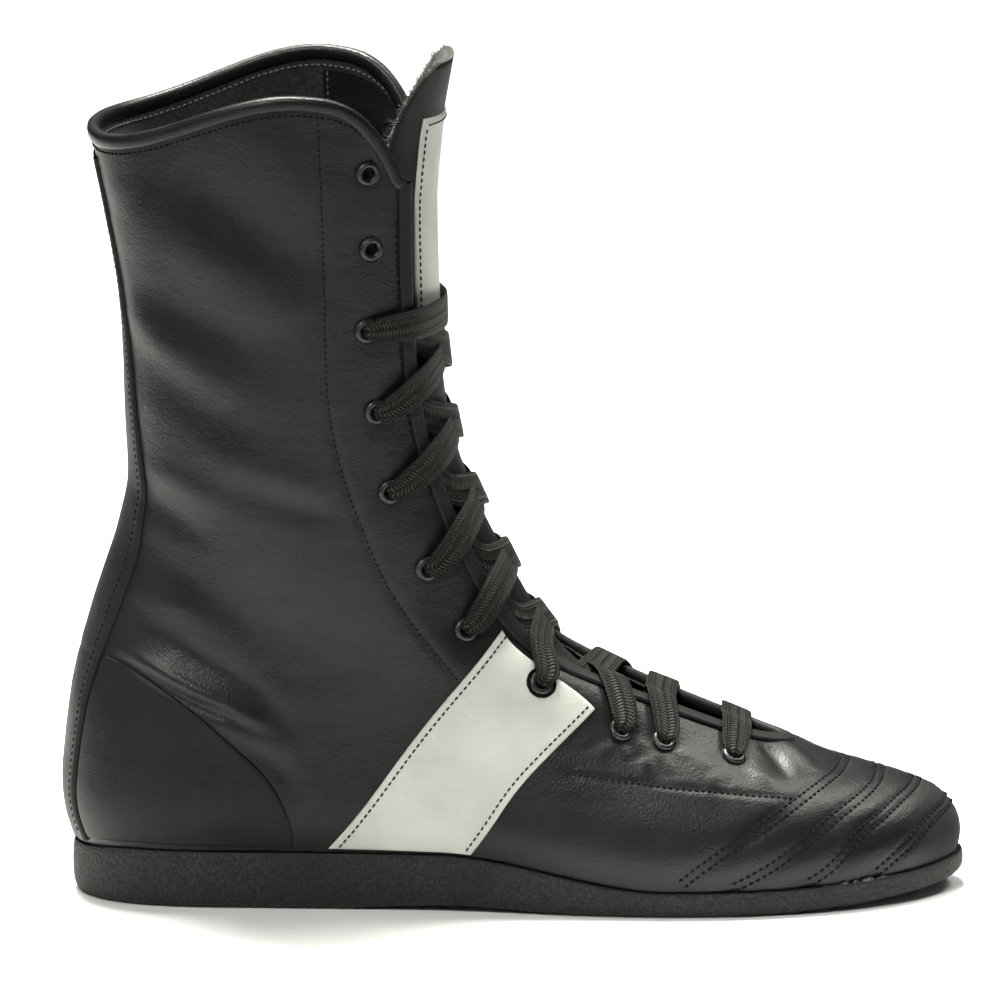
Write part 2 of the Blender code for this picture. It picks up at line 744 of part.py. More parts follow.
def tongue_row(level):
    """Half width and lean of the tongue at a level."""
    levels = [row.level for row in TONGUE]
    width = float(np.interp(level, levels, [row.half_width for row in TONGUE]))
    lean = float(np.interp(level, levels, [row.lean for row in TONGUE]))
    return width, lean


def tongue_point(offset, level, lift=0.0):
    """Point over the tongue's outer face at a distance from its middle, lateral side negative."""
    side = MEDIAL if offset > 0.0 else LATERAL
    turn = turn_at_width(side, level, abs(offset))
    lean = Vector((tongue_row(level)[1], 0.0, 0.0))
    return skin(side, turn, level, lift - tongue_depth(level), False) + lean


def tongue(home):
    """Curved sheet under the facings."""
    rows = []
    for entry in TONGUE:
        offsets = [entry.half_width * (2.0 * number / TONGUE_COLUMNS - 1.0)
                   for number in range(TONGUE_COLUMNS + 1)]
        rows.append([tongue_point(offset, entry.level) for offset in offsets])
    return sheet("tongue", rows, BLACK_LEATHER, home, TONGUE_THICKNESS, False)


def tongue_patch(home):
    """Bare white patch sewn on the top of the tongue."""
    rows = []
    for number in range(PATCH_ROWS + 1):
        level = PATCH_LOW + (PATCH_HIGH - PATCH_LOW) * number / PATCH_ROWS
        offsets = [PATCH_HALF * (2.0 * column / PATCH_COLUMNS - 1.0) for column in range(PATCH_COLUMNS + 1)]
        rows.append([tongue_point(offset, level, TRIM_GAP) for offset in offsets])
    return sheet("tongue_patch", rows, WHITE_LEATHER, home, TRIM_LEATHER, True)


def throat_level_near(side, place):
    """Level of the throat edge nearest to a point."""
    levels = np.linspace(THROAT_END + 0.05, TOP - 0.05, 240)
    gaps = [(last_point(side, throat_turn(side, float(level)), float(level)) - place).length
            for level in levels]
    return float(levels[int(np.argmin(gaps))])


def eyelet_stop(side, row):
    """Lace stop over an eyelet: point, outward direction and level of the near throat edge."""
    turn, level = locate(side, *EYELETS[row])
    edge = throat_level_near(side, last_point(side, turn, level))
    return skin(side, turn, level, LACE_LIFT), last_normal(side, turn, level), edge


def edge_stop(side, level):
    """Lace stop over the throat strip."""
    turn = throat_turn(side, level)
    outward = last_normal(side, turn, level)
    towards = last_point(side, math.pi, level) - last_point(side, turn, level)
    towards = (towards - outward * towards.dot(outward)).normalized()
    return skin(side, turn, level, LACE_EDGE_LIFT) + towards * LACE_EDGE_REACH, outward


def tongue_stop(offset, level, lift):
    """Lace stop over the tongue."""
    side = MEDIAL if offset > 0.0 else LATERAL
    turn = turn_at_width(side, level, abs(offset))
    return tongue_point(offset, level, lift), last_normal(side, turn, level, False)


def ribbon(stops):
    """Rings of a flat lace along a smooth line through its stops."""
    points = np.array([tuple(stop[0]) for stop in stops])
    normals = np.array([tuple(stop[1]) for stop in stops])
    point_slopes = spline_slopes(points)
    normal_slopes = spline_slopes(normals)
    places = np.linspace(0.0, len(stops) - 1.0, LACE_STEPS * (len(stops) - 1) + 1)
    line = [Vector(spline_value(points, point_slopes, place)) for place in places]
    rings = []
    for here, place in enumerate(places):
        outward = Vector(spline_value(normals, normal_slopes, place)).normalized()
        along = (line[min(here + 1, len(line) - 1)] - line[max(here - 1, 0)]).normalized()
        aside = along.cross(outward).normalized() * (LACE_WIDTH / 2.0)
        rise = aside.cross(along).normalized() * LACE_THICKNESS
        rings.append([line[here] - aside, line[here] + aside, line[here] + aside + rise,
                      line[here] - aside + rise])
    return rings


def crossing_rings(side, row):
    """Lace from an eyelet over its throat edge to the far edge one row up."""
    start, outward, low = eyelet_stop(side, row)
    high = eyelet_stop(-side, row - 1)[2]
    stops = [(start, outward), edge_stop(side, low + (high - low) * LACE_EDGE_SHARE)]
    middle = low + (high - low) * LACE_MIDDLE_SHARE
    stops.append(tongue_stop(0.0, middle, LACE_TONGUE_LIFT + (LACE_OVERLAP if side == MEDIAL else 0.0)))
    end = low + (high - low) * LACE_END_SHARE
    stops.append(tongue_stop(-side * (throat_gap(end) - LACE_END_INSET), end, LACE_TONGUE_LIFT))
    return ribbon(stops)


def lace_crossing(number, row, home, cutters):
    """Two crossing runs of the lace joined in one piece."""
    name = f"lace_cross_{number}"
    part = loft(name, crossing_rings(LATERAL, row), BLACK_LACE, home)
    other = loft(name + "_partner", crossing_rings(MEDIAL, row), None, cutters)
    join = part.modifiers.new("crossing", "BOOLEAN")
    join.operation = "UNION"
    join.solver = "EXACT"
    join.object = other
    return part


def lace_bar(name, row, drop, depth, home):
    """Straight run of the lace from one eyelet to its partner, dropped at its middle."""
    near, near_out, near_level = eyelet_stop(LATERAL, row)
    far, far_out, far_level = eyelet_stop(MEDIAL, row)
    level = (near_level + far_level) / 2.0 - drop
    middle = skin(LATERAL, math.pi, level, LACE_EDGE_LIFT - depth, False)
    stops = [(near, near_out), edge_stop(LATERAL, near_level - drop / 2.0),
             (middle, last_normal(LATERAL, math.pi, level, False)),
             edge_stop(MEDIAL, far_level - drop / 2.0), (far, far_out)]
    return loft(name, ribbon(stops), BLACK_LACE, home)


def main():
    """Make every piece of the shoe."""
    clear_scene()
    shoe = bpy.data.collections.new("boxing_shoe")
    cutters = bpy.data.collections.new("cutters")
    bpy.context.scene.collection.children.link(shoe)
    bpy.context.scene.collection.children.link(cutters)
    outsole(shoe)
    insole(shoe)
    upper(shoe, cutters)
    tongue(shoe)
    tongue_patch(shoe)
    collar_binding(shoe)
    throat_binding(shoe)
    backstay(shoe)
    for side in (LATERAL, MEDIAL):
        counter(side, shoe)
        saddle(side, shoe, cutters)
    eyelets(shoe)
    lace_bar("lace_bar_top", BAR_TOP_ROW, BAR_TOP_DROP, BAR_TOP_DEPTH, shoe)
    lace_bar("lace_bar_bottom", BAR_LOW_ROW, 0.0, 0.0, shoe)
    for number, row in enumerate(range(FIRST_CROSS_ROW, LAST_CROSS_ROW + 1), 1):
        lace_crossing(number, row, shoe, cutters)
    for cutter in cutters.objects:
        cutter.hide_render = True
        cutter.display_type = "WIRE"


main()
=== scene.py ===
"""Looks of a right-foot high-top boxing shoe in black leather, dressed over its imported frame.

Sizes are millimetres in the shoe's own frame: the back of the heel is near x 0, the toe points to +X,
the lateral side faces -Y and the floor is z 0. Meshes are written in metres.
"""

from __future__ import annotations

import logging
import math
from dataclasses import dataclass, field
from enum import Enum, IntEnum
from typing import NamedTuple, Sequence

import bmesh
import bpy
import numpy as np
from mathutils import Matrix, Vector


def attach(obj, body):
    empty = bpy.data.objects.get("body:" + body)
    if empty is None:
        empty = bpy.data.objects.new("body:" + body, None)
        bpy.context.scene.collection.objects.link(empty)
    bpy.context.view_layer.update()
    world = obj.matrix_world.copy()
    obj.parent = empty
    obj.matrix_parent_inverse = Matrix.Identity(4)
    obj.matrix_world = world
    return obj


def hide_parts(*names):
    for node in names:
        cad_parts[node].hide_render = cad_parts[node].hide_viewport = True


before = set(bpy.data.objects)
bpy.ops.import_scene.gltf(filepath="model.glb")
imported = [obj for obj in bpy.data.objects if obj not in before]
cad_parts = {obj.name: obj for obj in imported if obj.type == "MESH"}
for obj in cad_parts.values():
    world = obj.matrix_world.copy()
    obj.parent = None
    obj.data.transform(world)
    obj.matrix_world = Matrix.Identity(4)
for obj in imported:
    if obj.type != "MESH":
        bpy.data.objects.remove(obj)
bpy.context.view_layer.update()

Array = np.ndarray
Pair = tuple[Array, Array]
Span = tuple[float, float]
Line = tuple[Span, ...]
Triple = tuple[float, float, float]
Colour = Triple
Socket = bpy.types.NodeSocket
log = logging.getLogger("boxing_shoe")

MM = 0.001
CENTRE = np.array((146.5, -0.4, 0.0))
HOLE_DEPTH = 6.0
MEDIAL_SHIFT = 8.5


class Side(IntEnum):
    """The two sides of the shoe, as the sign of y."""

    LATERAL = -1
    MEDIAL = 1


LATERAL, MEDIAL = SIDES = tuple(Side)


class Slot(str, Enum):
    """Material slots of the record."""

    BLACK = "black_leather"
    WHITE = "white_leather"
    RUBBER = "rubber_sole"
    LACE = "lace_cord"
    RING = "eyelet_black"
    LINING = "lining"
    THREAD = "stitch_thread"
    INSOLE = "insole_board"


class Section(NamedTuple):
    """One slanted section of the last: ends on the centre plane, half widths, arch share, throat gap."""

    back_x: float
    back_z: float
    front_x: float
    front_z: float
    heel_edge: float
    heel: float
    waist: float
    ball: float
    toe: float
    arch: float
    gap: float


class Spot(NamedTuple):
    """A place in the side view."""

    x: float
    z: float


def ease(value: Array) -> Array:
    """Smooth step from 0 to 1.

    Args:
        value: Numbers to ease.

    Returns:
        The eased numbers.
    """
    value = np.clip(value, 0.0, 1.0)
    return value * value * (3.0 - 2.0 * value)


def spline_slopes(values: Array) -> Array:
    """Slopes of a natural cubic spline through evenly numbered rows.

    Args:
        values: Rows of values.

    Returns:
        One row of slopes for each row of values.
    """
    count = len(values)
    system = np.diag(np.full(count, 4.0)) + np.eye(count, k=1) + np.eye(count, k=-1)
    system[0, 0] = system[-1, -1] = 2.0
    steps = np.zeros_like(values)
    steps[1:-1] = 3.0 * (values[2:] - values[:-2])
    steps[0] = 3.0 * (values[1] - values[0])
    steps[-1] = 3.0 * (values[-1] - values[-2])
    return np.linalg.solve(system, steps)


def spline_rows(values: Array, slopes: Array, place: Array) -> Array:
    """Values of a spline at row numbers, carried straight on beyond its ends.

    Args:
        values: Rows of values.
        slopes: Their slopes.
        place: Row numbers, whole or not.

    Returns:
        Values with the shape of place and one more axis.
    """
    top = len(values) - 1
    place = np.asarray(place, float)
    low = np.clip(np.floor(place).astype(int), 0, top - 1)
    u = np.clip(place - low, 0.0, 1.0)[..., None]
    rise = values[low + 1] - values[low]
    a = slopes[low] - rise
    b = rise - slopes[low + 1]
    inside = values[low] + u * rise + u * (1.0 - u) * ((1.0 - u) * a + u * b)
    after = np.maximum(place - top, 0.0)[..., None] * slopes[-1]
    before = np.minimum(place, 0.0)[..., None] * slopes[0]
    return inside + after + before


def smooth_line(points: Sequence[Sequence[float]], count: int) -> Array:
    """Evenly numbered points on a smooth line through the given ones.

    Args:
        points: Points of the line, of any dimension.
        count: How many points to return.

    Returns:
        The points, one a row.
    """
    values = np.array(points, float)
    return spline_rows(values, spline_slopes(values), np.linspace(0.0, len(values) - 1.0, count))


def unit(vectors: Array) -> Array:
    """Vectors scaled to length one along their last axis."""
    return vectors / np.maximum(np.linalg.norm(vectors, axis=-1, keepdims=True), 1e-9)


def line_gap(points: Array, line: Array) -> Pair:
    """Distance of points from a line and the place on it that is nearest.

    Args:
        points: Points, one a row.
        line: Points of the line, one a row.

    Returns:
        Distances, and point numbers of the line, whole or not.
    """
    apart = np.linalg.norm(points[:, None, :] - line[None, :, :], axis=2)
    best = apart.argmin(axis=1)
    gap = apart.min(axis=1)
    place = best.astype(float)
    for step in (-1, 1):
        other = np.clip(best + step, 0, len(line) - 1)
        along = line[other] - line[best]
        share = ((points - line[best]) * along).sum(axis=1) / np.maximum((along ** 2).sum(axis=1), 1e-9)
        share = np.clip(share, 0.0, 1.0)
        there = np.linalg.norm(points - line[best] - along * share[:, None], axis=1)
        place = np.where(there < gap, best + step * share, place)
        gap = np.minimum(gap, there)
    return gap, place


def in_metres(points: Array) -> Array:
    """Points of the shoe's own frame in the part's frame."""
    return (np.asarray(points, float) - CENTRE) * MM


def side_name(side: int) -> str:
    """Plain name of a side."""
    return Side(side).name.lower()


def level_with(vector: Array, outward: Array) -> Array:
    """Direction of a vector with its outward part taken away."""
    return unit(vector - outward * (vector @ outward))


def lengths_along(points: Array) -> Array:
    """Length of a line up to each of its points."""
    return np.concatenate([[0.0], np.cumsum(np.linalg.norm(np.diff(points, axis=0), axis=1))])


def circle(count: int) -> Pair:
    """Cosines and sines of angles spaced evenly round a circle."""
    angle = np.linspace(0.0, math.tau, count, endpoint=False)
    return np.cos(angle), np.sin(angle)


def round_the_back(half: Array) -> Pair:
    """Sides and values from the medial front round the back to the lateral front."""
    side = np.concatenate([np.full(len(half), MEDIAL), np.full(len(half) - 1, LATERAL)])
    return side, np.concatenate([half[::-1], half[1:]])


def rounded_spread(count: int, bevel: Array, drop: Array, start: float, height: float) -> Pair:
    """Shares across a sewn piece and lifts that round its two edges.

    Args:
        count: Rows of its flat part.
        bevel: Shares of the rows that round an edge.
        drop: Their lifts as shares of the height.
        start: Share at which the flat part starts.
        height: Lift of the flat part.

    Returns:
        Shares and lifts.
    """
    flat = np.linspace(start, 1.0 - start, count)
    share = np.concatenate([bevel, flat, 1.0 - bevel[::-1]])
    return share, np.concatenate([drop * height, np.full(count, height), drop[::-1] * height])


def punch(points: Array, centre: Array, axis: Array, hole: float, reach: float, sink: float = 0.0) -> Array:
    """Push the points of a sheet out of a round hole.

    Args:
        points: Points of the sheet, which are moved.
        centre: Middle of the hole.
        axis: Outward direction there.
        hole: Radius of the hole.
        reach: Radius up to which points are pushed.
        sink: How far the rim is pressed in.

    Returns:
        Whether each point lay within reach.
    """
    away = points - centre
    depth = away @ axis
    flat = away - depth[:, None] * axis
    gap = np.linalg.norm(flat, axis=1)
    near = (gap < reach) & (np.abs(depth) < HOLE_DEPTH)
    pushed = hole + (reach - hole) * gap[near] / reach
    points[near] += flat[near] * (pushed / np.maximum(gap[near], 0.05) - 1.0)[:, None]
    points[near] -= axis * sink * (1.0 - gap[near] / reach)[:, None]
    return near


def grid_faces(rows: int, columns: int, wrap: bool = False) -> Array:
    """Corner numbers of the quads of a grid.

    Args:
        rows: Rows of points.
        columns: Points in a row.
        wrap: Whether each row is a closed ring.

    Returns:
        One quad a row.
    """
    a = np.arange(rows * columns).reshape(rows, columns)
    if wrap:
        a = np.concatenate([a, a[:, :1]], axis=1)
    return np.stack([a[:-1, :-1], a[:-1, 1:], a[1:, 1:], a[1:, :-1]], -1).reshape(-1, 4)


def repeated(faces: Array, count: int) -> Array:
    """Faces of many copies of a mesh, one copy after the other."""
    numbers = np.arange(count) * (faces.max() + 1)
    return (faces[None] + numbers[:, None, None]).reshape(-1, faces.shape[1])


@dataclass(frozen=True)
class Last:
    """The form that the leather is pulled over, a stack of sections from the sole to the collar."""

    sections: tuple[Section, ...] = (
        Section(5.2, 17.3, 290.5, 11.5, 27.5, 33.5, 41.0, 46.3, 30.5, 1.00, 0.0),
        Section(1.5, 32.0, 291.5, 18.5, 30.5, 36.0, 42.5, 47.5, 31.0, 0.92, 0.0),
        Section(2.1, 50.0, 288.0, 28.0, 29.5, 35.5, 40.0, 43.5, 26.5, 0.65, 0.0),
        Section(4.3, 68.0, 276.0, 35.5, 27.0, 34.5, 37.0, 36.3, 19.5, 0.33, 0.0),
        Section(8.3, 85.0, 256.0, 41.5, 24.0, 33.5, 35.0, 30.5, 15.5, 0.12, 4.0),
        Section(13.3, 102.0, 234.0, 50.0, 21.5, 32.8, 34.5, 27.0, 13.0, 0.00, 9.0),
        Section(18.3, 117.0, 201.0, 63.5, 20.5, 33.5, 35.5, 27.5, 13.5, 0.00, 15.0),
        Section(21.8, 131.0, 172.0, 78.0, 21.0, 34.2, 37.0, 29.5, 15.0, 0.00, 19.5),
        Section(22.7, 141.0, 155.0, 101.5, 21.0, 34.7, 38.3, 31.8, 17.0, 0.00, 23.5),
        Section(21.8, 160.0, 140.5, 129.5, 22.0, 35.4, 39.5, 33.8, 19.0, 0.00, 25.0),
        Section(21.3, 181.0, 130.5, 161.0, 23.5, 36.2, 40.5, 35.5, 20.8, 0.00, 26.0),
        Section(18.3, 211.0, 127.5, 200.0, 26.0, 38.0, 42.5, 37.5, 22.5, 0.00, 27.0),
        Section(10.5, 252.0, 127.5, 243.0, 28.0, 40.2, 45.5, 40.5, 24.5, 0.00, 28.5),
    )
    arch_hollow: tuple[float, ...] = (0.0, 3.0, 11.0, 3.5, 1.5)
    turns: int = 6
    throat_end: float = 5.0
    throat_round: float = 0.25
    facing_shift_start: float = 0.6
    sole_follow_rows: float = 4.0
    toe_swing: float = 7.0
    swing_start: float = 150.0
    collar_rise: float = 22.5
    collar_drop: float = 25.5
    collar_peak: float = 0.62
    collar_front: float = 0.885
    collar_rows: float = 2.0
    collar_sweep: float = 3.2
    heel_thickness: float = 18.7
    fore_thickness: float = 8.0
    wedge: Span = (122.0, 196.0)
    heel_dip: float = 2.2
    heel_dip_length: float = 24.0
    arch_rise: float = 1.8
    arch: Span = (84.0, 172.0)
    spring: Span = (205.0, 293.0)
    spring_rise: float = 5.0
    spring_top_share: float = 0.75
    fit_gap: float = 0.3
    twist: float = 0.11
    twist_axis: float = 69.0
    twist_start: float = 7.5

    @property
    def top(self) -> float:
        """Level of the collar edge."""
        return len(self.sections) - 1.0

    def rows(self, level: Array) -> Array:
        """Section values at levels.

        Args:
            level: Levels of the stack.

        Returns:
            Section columns along the last axis.
        """
        values = np.array(self.sections, float)
        return spline_rows(values, spline_slopes(values), level)

    def half_width(self, side: Array, turn: Array, level: Array) -> Array:
        """Half width of the outline.

        Args:
            side: -1 or 1.
            turn: Turn of the outline, 0 at the back and pi at the front.
            level: Level of the section.

        Returns:
            Half widths.
        """
        numbers = np.arange(1, self.turns)
        sines = (2.0 / self.turns) * np.sin(np.pi * np.outer(numbers, numbers) / self.turns)
        row = self.rows(level)
        medial = (np.asarray(side) > 0)[..., None]
        widths = row[..., 4:9] - medial * np.maximum(row[..., 9:10], 0.0) * np.array(self.arch_hollow)
        return ((widths @ sines) * np.sin(np.asarray(turn)[..., None] * numbers)).sum(-1)

    def toe_lift(self, x: Array) -> Array:
        """Lift of the toe spring along the sole."""
        share = np.maximum(0.0, (x - self.spring[0]) / (self.spring[1] - self.spring[0]))
        return self.spring_rise * share ** 2

    def sole_bottom(self, x: Array) -> Array:
        """Height of the tread along the sole."""
        share = np.clip((x - self.arch[0]) / (self.arch[1] - self.arch[0]), 0.0, 1.0)
        return self.arch_rise * np.sin(np.pi * share) ** 2 + self.toe_lift(x)

    def sole_top(self, x: Array) -> Array:
        """Height of the sole's upper face along the wedge.

        Args:
            x: Places along the sole.

        Returns:
            Heights.
        """
        fall = ease((x - self.wedge[0]) / (self.wedge[1] - self.wedge[0]))
        dip = self.heel_dip * (1.0 - ease(x / self.heel_dip_length))
        thickness = self.heel_thickness + (self.fore_thickness - self.heel_thickness) * fall
        return thickness + self.toe_lift(x) * self.spring_top_share - dip

    def rise(self, across: Array) -> Array:
        """Rise of the collar edge from the back to the facing.

        Args:
            across: Shares of the way from the back to the front.

        Returns:
            Heights over the slanted edge.
        """
        back = self.collar_rise * ease(across / self.collar_peak)
        fall = np.maximum(0.0, across - self.collar_peak) / (self.collar_front - self.collar_peak)
        return back - self.collar_drop * fall ** self.collar_sweep

    def point(self, side: Array, turn: Array, level: Array, collar: bool = True) -> Array:
        """Points on the last's surface.

        Args:
            side: -1 or 1.
            turn: Turn of the outline.
            level: Level of the section.
            collar: Whether the collar's wave lifts the upper levels.

        Returns:
            Points along the last axis.
        """
        side, turn, level = np.broadcast_arrays(np.asarray(side, float), turn, level)
        row = self.rows(level)
        across = (1.0 - np.cos(turn)) / 2.0
        x = row[..., 0] + (row[..., 2] - row[..., 0]) * across
        z = row[..., 1] + (row[..., 3] - row[..., 1]) * across
        foot = self.sections[0]
        chord = foot.back_z + (foot.front_z - foot.back_z) * across
        follow = np.maximum(0.0, 1.0 - level / self.sole_follow_rows) ** 2
        z = z + (self.sole_top(x) + self.fit_gap - chord) * follow
        if collar:
            share = np.maximum(0.0, (level - self.top + self.collar_rows) / self.collar_rows) ** 1.5
            z = z + self.rise(np.minimum(across, self.collar_front)) * share
        bend = np.maximum(0.0, (x - self.swing_start) / (self.spring[1] - self.swing_start)) ** 2
        y = side * self.half_width(side, turn, level) + self.toe_swing * bend
        twist = self.twist * ease((level - self.twist_start) / (self.top - self.twist_start))
        return np.stack([x + twist * y, y - twist * (x - self.twist_axis), z], -1)

    def normal(self, side: Array, turn: Array, level: Array, collar: bool = True) -> Array:
        """Outward directions of the last's surface.

        Args:
            side: -1 or 1.
            turn: Turn of the outline.
            level: Level of the section.
            collar: As for point.

        Returns:
            Unit vectors along the last axis.
        """
        side, turn, level = np.broadcast_arrays(np.asarray(side, float), turn, level)
        step = 0.004
        low = np.maximum(level - step, 0.0)
        along = self.point(side, turn + step, level, collar) - self.point(side, turn - step, level, collar)
        up = self.point(side, turn, level + step, collar) - self.point(side, turn, low, collar)
        return unit(np.cross(along, up) * -side[..., None])

    def outward_in_plan(self, side: Array, turn: Array) -> Array:
        """Level directions straight out from the feather edge.

        Args:
            side: -1 or 1.
            turn: Turns of the outline.

        Returns:
            Unit vectors, one a row.
        """
        step = 0.01
        along = self.point(side, turn + step, 0.0) - self.point(side, turn - step, 0.0)
        flat = np.stack([along[:, 1], -along[:, 0], np.zeros(len(along))], -1)
        return unit(flat * -np.broadcast_to(side, turn.shape)[:, None])

    def turn_at_width(self, side: Array, level: Array, width: Array, front: bool = True) -> Array:
        """Turn of the outline where it is a given half width.

        Args:
            side: -1 or 1.
            level: Levels.
            width: Half widths.
            front: Whether to look on the front or the back part of the outline.

        Returns:
            Turns.
        """
        side, level, width = np.broadcast_arrays(np.asarray(side, float), level, width)
        wide = np.full(level.shape, math.pi * 0.5)
        narrow = np.full(level.shape, math.pi if front else 0.0)
        for _ in range(40):
            middle = (wide + narrow) / 2.0
            wider = self.half_width(side, middle, level) > width
            wide = np.where(wider, middle, wide)
            narrow = np.where(wider, narrow, middle)
        return (wide + narrow) / 2.0

    def throat_gap(self, level: Array) -> Array:
        """Half opening of the throat, rounded at its lower end."""
        closed = 1.0 - np.clip((level - self.throat_end) / self.throat_round, 0.0, 1.0)
        return self.rows(level)[..., 10] * np.sqrt(1.0 - closed ** 2) * (level > self.throat_end)

    def throat_turn(self, side: Array, level: Array) -> Array:
        """Turn at which a half outline meets the throat edge or the front of the toe.

        Args:
            side: -1 or 1.
            level: Levels.

        Returns:
            Turns.
        """
        level = np.asarray(level, float)
        found = self.turn_at_width(side, level, self.throat_gap(level))
        return np.where(level <= self.throat_end, math.pi, found)

    def column_turn(self, side: Array, share: Array, level: Array) -> Array:
        """Turn of a column of the upper, drawn back to the throat edge at the front.

        Args:
            side: -1 or 1.
            share: Share of the half outline from the back.
            level: Levels.

        Returns:
            Turns.
        """
        drawn = np.maximum(0.0, (share - self.facing_shift_start) / (1.0 - self.facing_shift_start))
        return math.pi * share - (math.pi - self.throat_turn(side, level)) * drawn

    def locate(self, spots: Sequence[Sequence[float]]) -> Pair:
        """Turns and levels of the lateral surface under spots of the side view.

        Args:
            spots: Rows of x and z.

        Returns:
            Turns and levels.
        """
        x, z = np.array(spots, float).T
        turns, levels = (grid.ravel() for grid in np.meshgrid(np.linspace(0.0, math.pi, 61),
                                                               np.linspace(0.0, self.top, 61)))
        known = self.point(LATERAL, turns, levels)
        best = np.argmin((known[:, 0] - x[:, None]) ** 2 + (known[:, 2] - z[:, None]) ** 2, axis=1)
        turn, level = turns[best], levels[best]
        step = 0.001
        for _ in range(30):
            here = self.point(LATERAL, turn, level)
            by_turn = (self.point(LATERAL, turn + step, level) - here) / step
            by_level = (self.point(LATERAL, turn, level + step) - here) / step
            det = by_turn[:, 0] * by_level[:, 2] - by_turn[:, 2] * by_level[:, 0]
            det = np.where(np.abs(det) < 1e-6, 1e-6, det)
            dx, dz = x - here[:, 0], z - here[:, 2]
            more_turn = (dx * by_level[:, 2] - dz * by_level[:, 0]) / det
            more_level = (by_turn[:, 0] * dz - by_turn[:, 2] * dx) / det
            turn = np.clip(turn + np.clip(more_turn, -0.1, 0.1), 0.01, math.pi)
            level = np.clip(level + np.clip(more_level, -0.3, 0.3), 0.0, self.top)
        return turn, level


@dataclass(frozen=True)
class Fold:
    """A soft ridge or trough of the leather along a line of the side view."""

    line: Line
    height: float
    width: float
    sides: tuple[int, ...] = SIDES
    spacing: float = 0.8

    def traces(self, last: Last) -> list[tuple[int, Array, Array]]:
        """Lines of the fold on the last.

        Args:
            last: The form under the leather.

        Returns:
            Side, points and height at each point, for each side that has the fold.
        """
        reach = np.linalg.norm(np.diff(np.array(self.line), axis=0), axis=1).sum()
        count = max(12, int(reach / (self.width * self.spacing)))
        spots = smooth_line(self.line, count)
        fade = np.sin(np.pi * np.linspace(0.02, 0.98, count)) ** 0.7
        turn, level = last.locate(spots)
        return [(side, last.point(side, turn, level), self.height * fade) for side in self.sides]


@dataclass(frozen=True)
class ToeSeams:
    """Double-stitched lines over the toe, as turns and levels from the sole to the ridge."""

    lines: tuple[Line, ...] = (
        ((1.95, 0.2), (2.05, 1.06), (2.24, 2.11), (2.44, 2.92), (2.65, 3.5), (2.9, 3.95), (math.pi, 4.1)),
        ((2.08, 0.1), (2.15, 0.52), (2.33, 1.65), (2.48, 2.31), (2.63, 2.79), (2.86, 3.31), (math.pi, 3.55)),
        ((2.29, 0.1), (2.37, 0.71), (2.45, 1.45), (2.56, 1.92), (2.71, 2.4), (2.92, 2.78), (math.pi, 2.92)),
        ((2.52, 0.15), (2.61, 0.81), (2.69, 1.25), (2.79, 1.6), (2.93, 1.88), (math.pi, 2.02)),
    )
    samples: int = 160
    row_offset: float = 1.35
    groove: float = 0.36
    groove_width: float = 0.65
    pad: float = 0.4
    pad_reach: float = 4.6
    rear_pad: float = 0.45
    rear_reach: float = 13.0
    blend: float = 3.0
    forwards: tuple[float, float, float] = (0.7, 0.0, -0.7)

    def places(self, number: int) -> tuple[Array, Array, Array]:
        """Side, turn and level along one line, from the lateral sole over the ridge to the medial sole.

        Args:
            number: Number of the line from the throat.

        Returns:
            Arrays of sides, turns and levels.
        """
        half = list(self.lines[number])
        far = [(math.tau - turn, level) for turn, level in reversed(half[:-1])]
        turn, level = smooth_line(half + far, self.samples).T
        side = np.where(turn > math.pi, MEDIAL, LATERAL)
        return side, np.minimum(turn, math.tau - turn), level

    def traces(self, last: Last) -> list[Array]:
        """Points of each line on the last."""
        return [last.point(*self.places(number)) for number in range(len(self.lines))]

    def relief(self, traces: list[Array], points: Array) -> Array:
        """Height of the padded toe over the last.

        Args:
            traces: Points of the lines.
            points: Points of the last.

        Returns:
            Heights.
        """
        height = np.zeros(len(points))
        near = points[:, 0] > traces[0][:, 0].min() - 3.0 * self.rear_reach
        close = points[near]
        gaps = []
        ahead = np.zeros(len(close))
        for number, trace in enumerate(traces):
            gap, place = line_gap(close, trace)
            gaps.append(gap)
            if number == 0:
                past = (close - trace[place.astype(int)]) @ np.array(self.forwards)
                ahead = ease(past / self.blend + 0.5)
        nearest = np.min(gaps, axis=0)
        pad = 1.0 - np.exp(-(nearest / self.pad_reach) ** 2)
        rear = pad * np.exp(-(nearest / self.rear_reach) ** 2)
        groove = np.exp(-((nearest - self.row_offset) / self.groove_width) ** 2)
        height[near] = ahead * self.pad * pad + (1.0 - ahead) * self.rear_pad * rear - self.groove * groove
        return height


EYELET_SPOTS = (
    Spot(100.0, 244.0), Spot(101.0, 219.0), Spot(99.5, 192.0), Spot(102.6, 165.0), Spot(107.0, 138.5),
    Spot(119.0, 112.5), Spot(131.5, 92.0), Spot(155.7, 74.0), Spot(181.6, 58.5), Spot(195.5, 54.5),
    Spot(218.0, 48.5),
)
FACING_LINE = ((84.0, 262.0), (85.0, 236.0), (86.0, 203.0), (87.0, 170.0), (92.0, 144.0), (99.0, 124.0),
               (108.0, 104.0), (123.0, 83.0), (137.0, 66.0))
VAMP_LINE = ((163.0, 46.4), (174.8, 44.9), (187.7, 43.1), (200.8, 41.3), (213.9, 39.7), (226.9, 37.8),
             (238.0, 36.4))
COUNTER_EDGE = ((75.5, 20.5), (74.0, 31.0), (67.0, 44.0), (56.0, 54.5), (43.0, 65.5), (28.5, 75.0),
                (19.5, 79.5))
SADDLE_REAR = ((87.0, 20.5), (101.0, 38.0), (118.0, 61.0), (143.0, 90.5))
SADDLE_FRONT = ((133.0, 19.5), (141.0, 31.0), (152.0, 45.5), (173.0, 65.0))

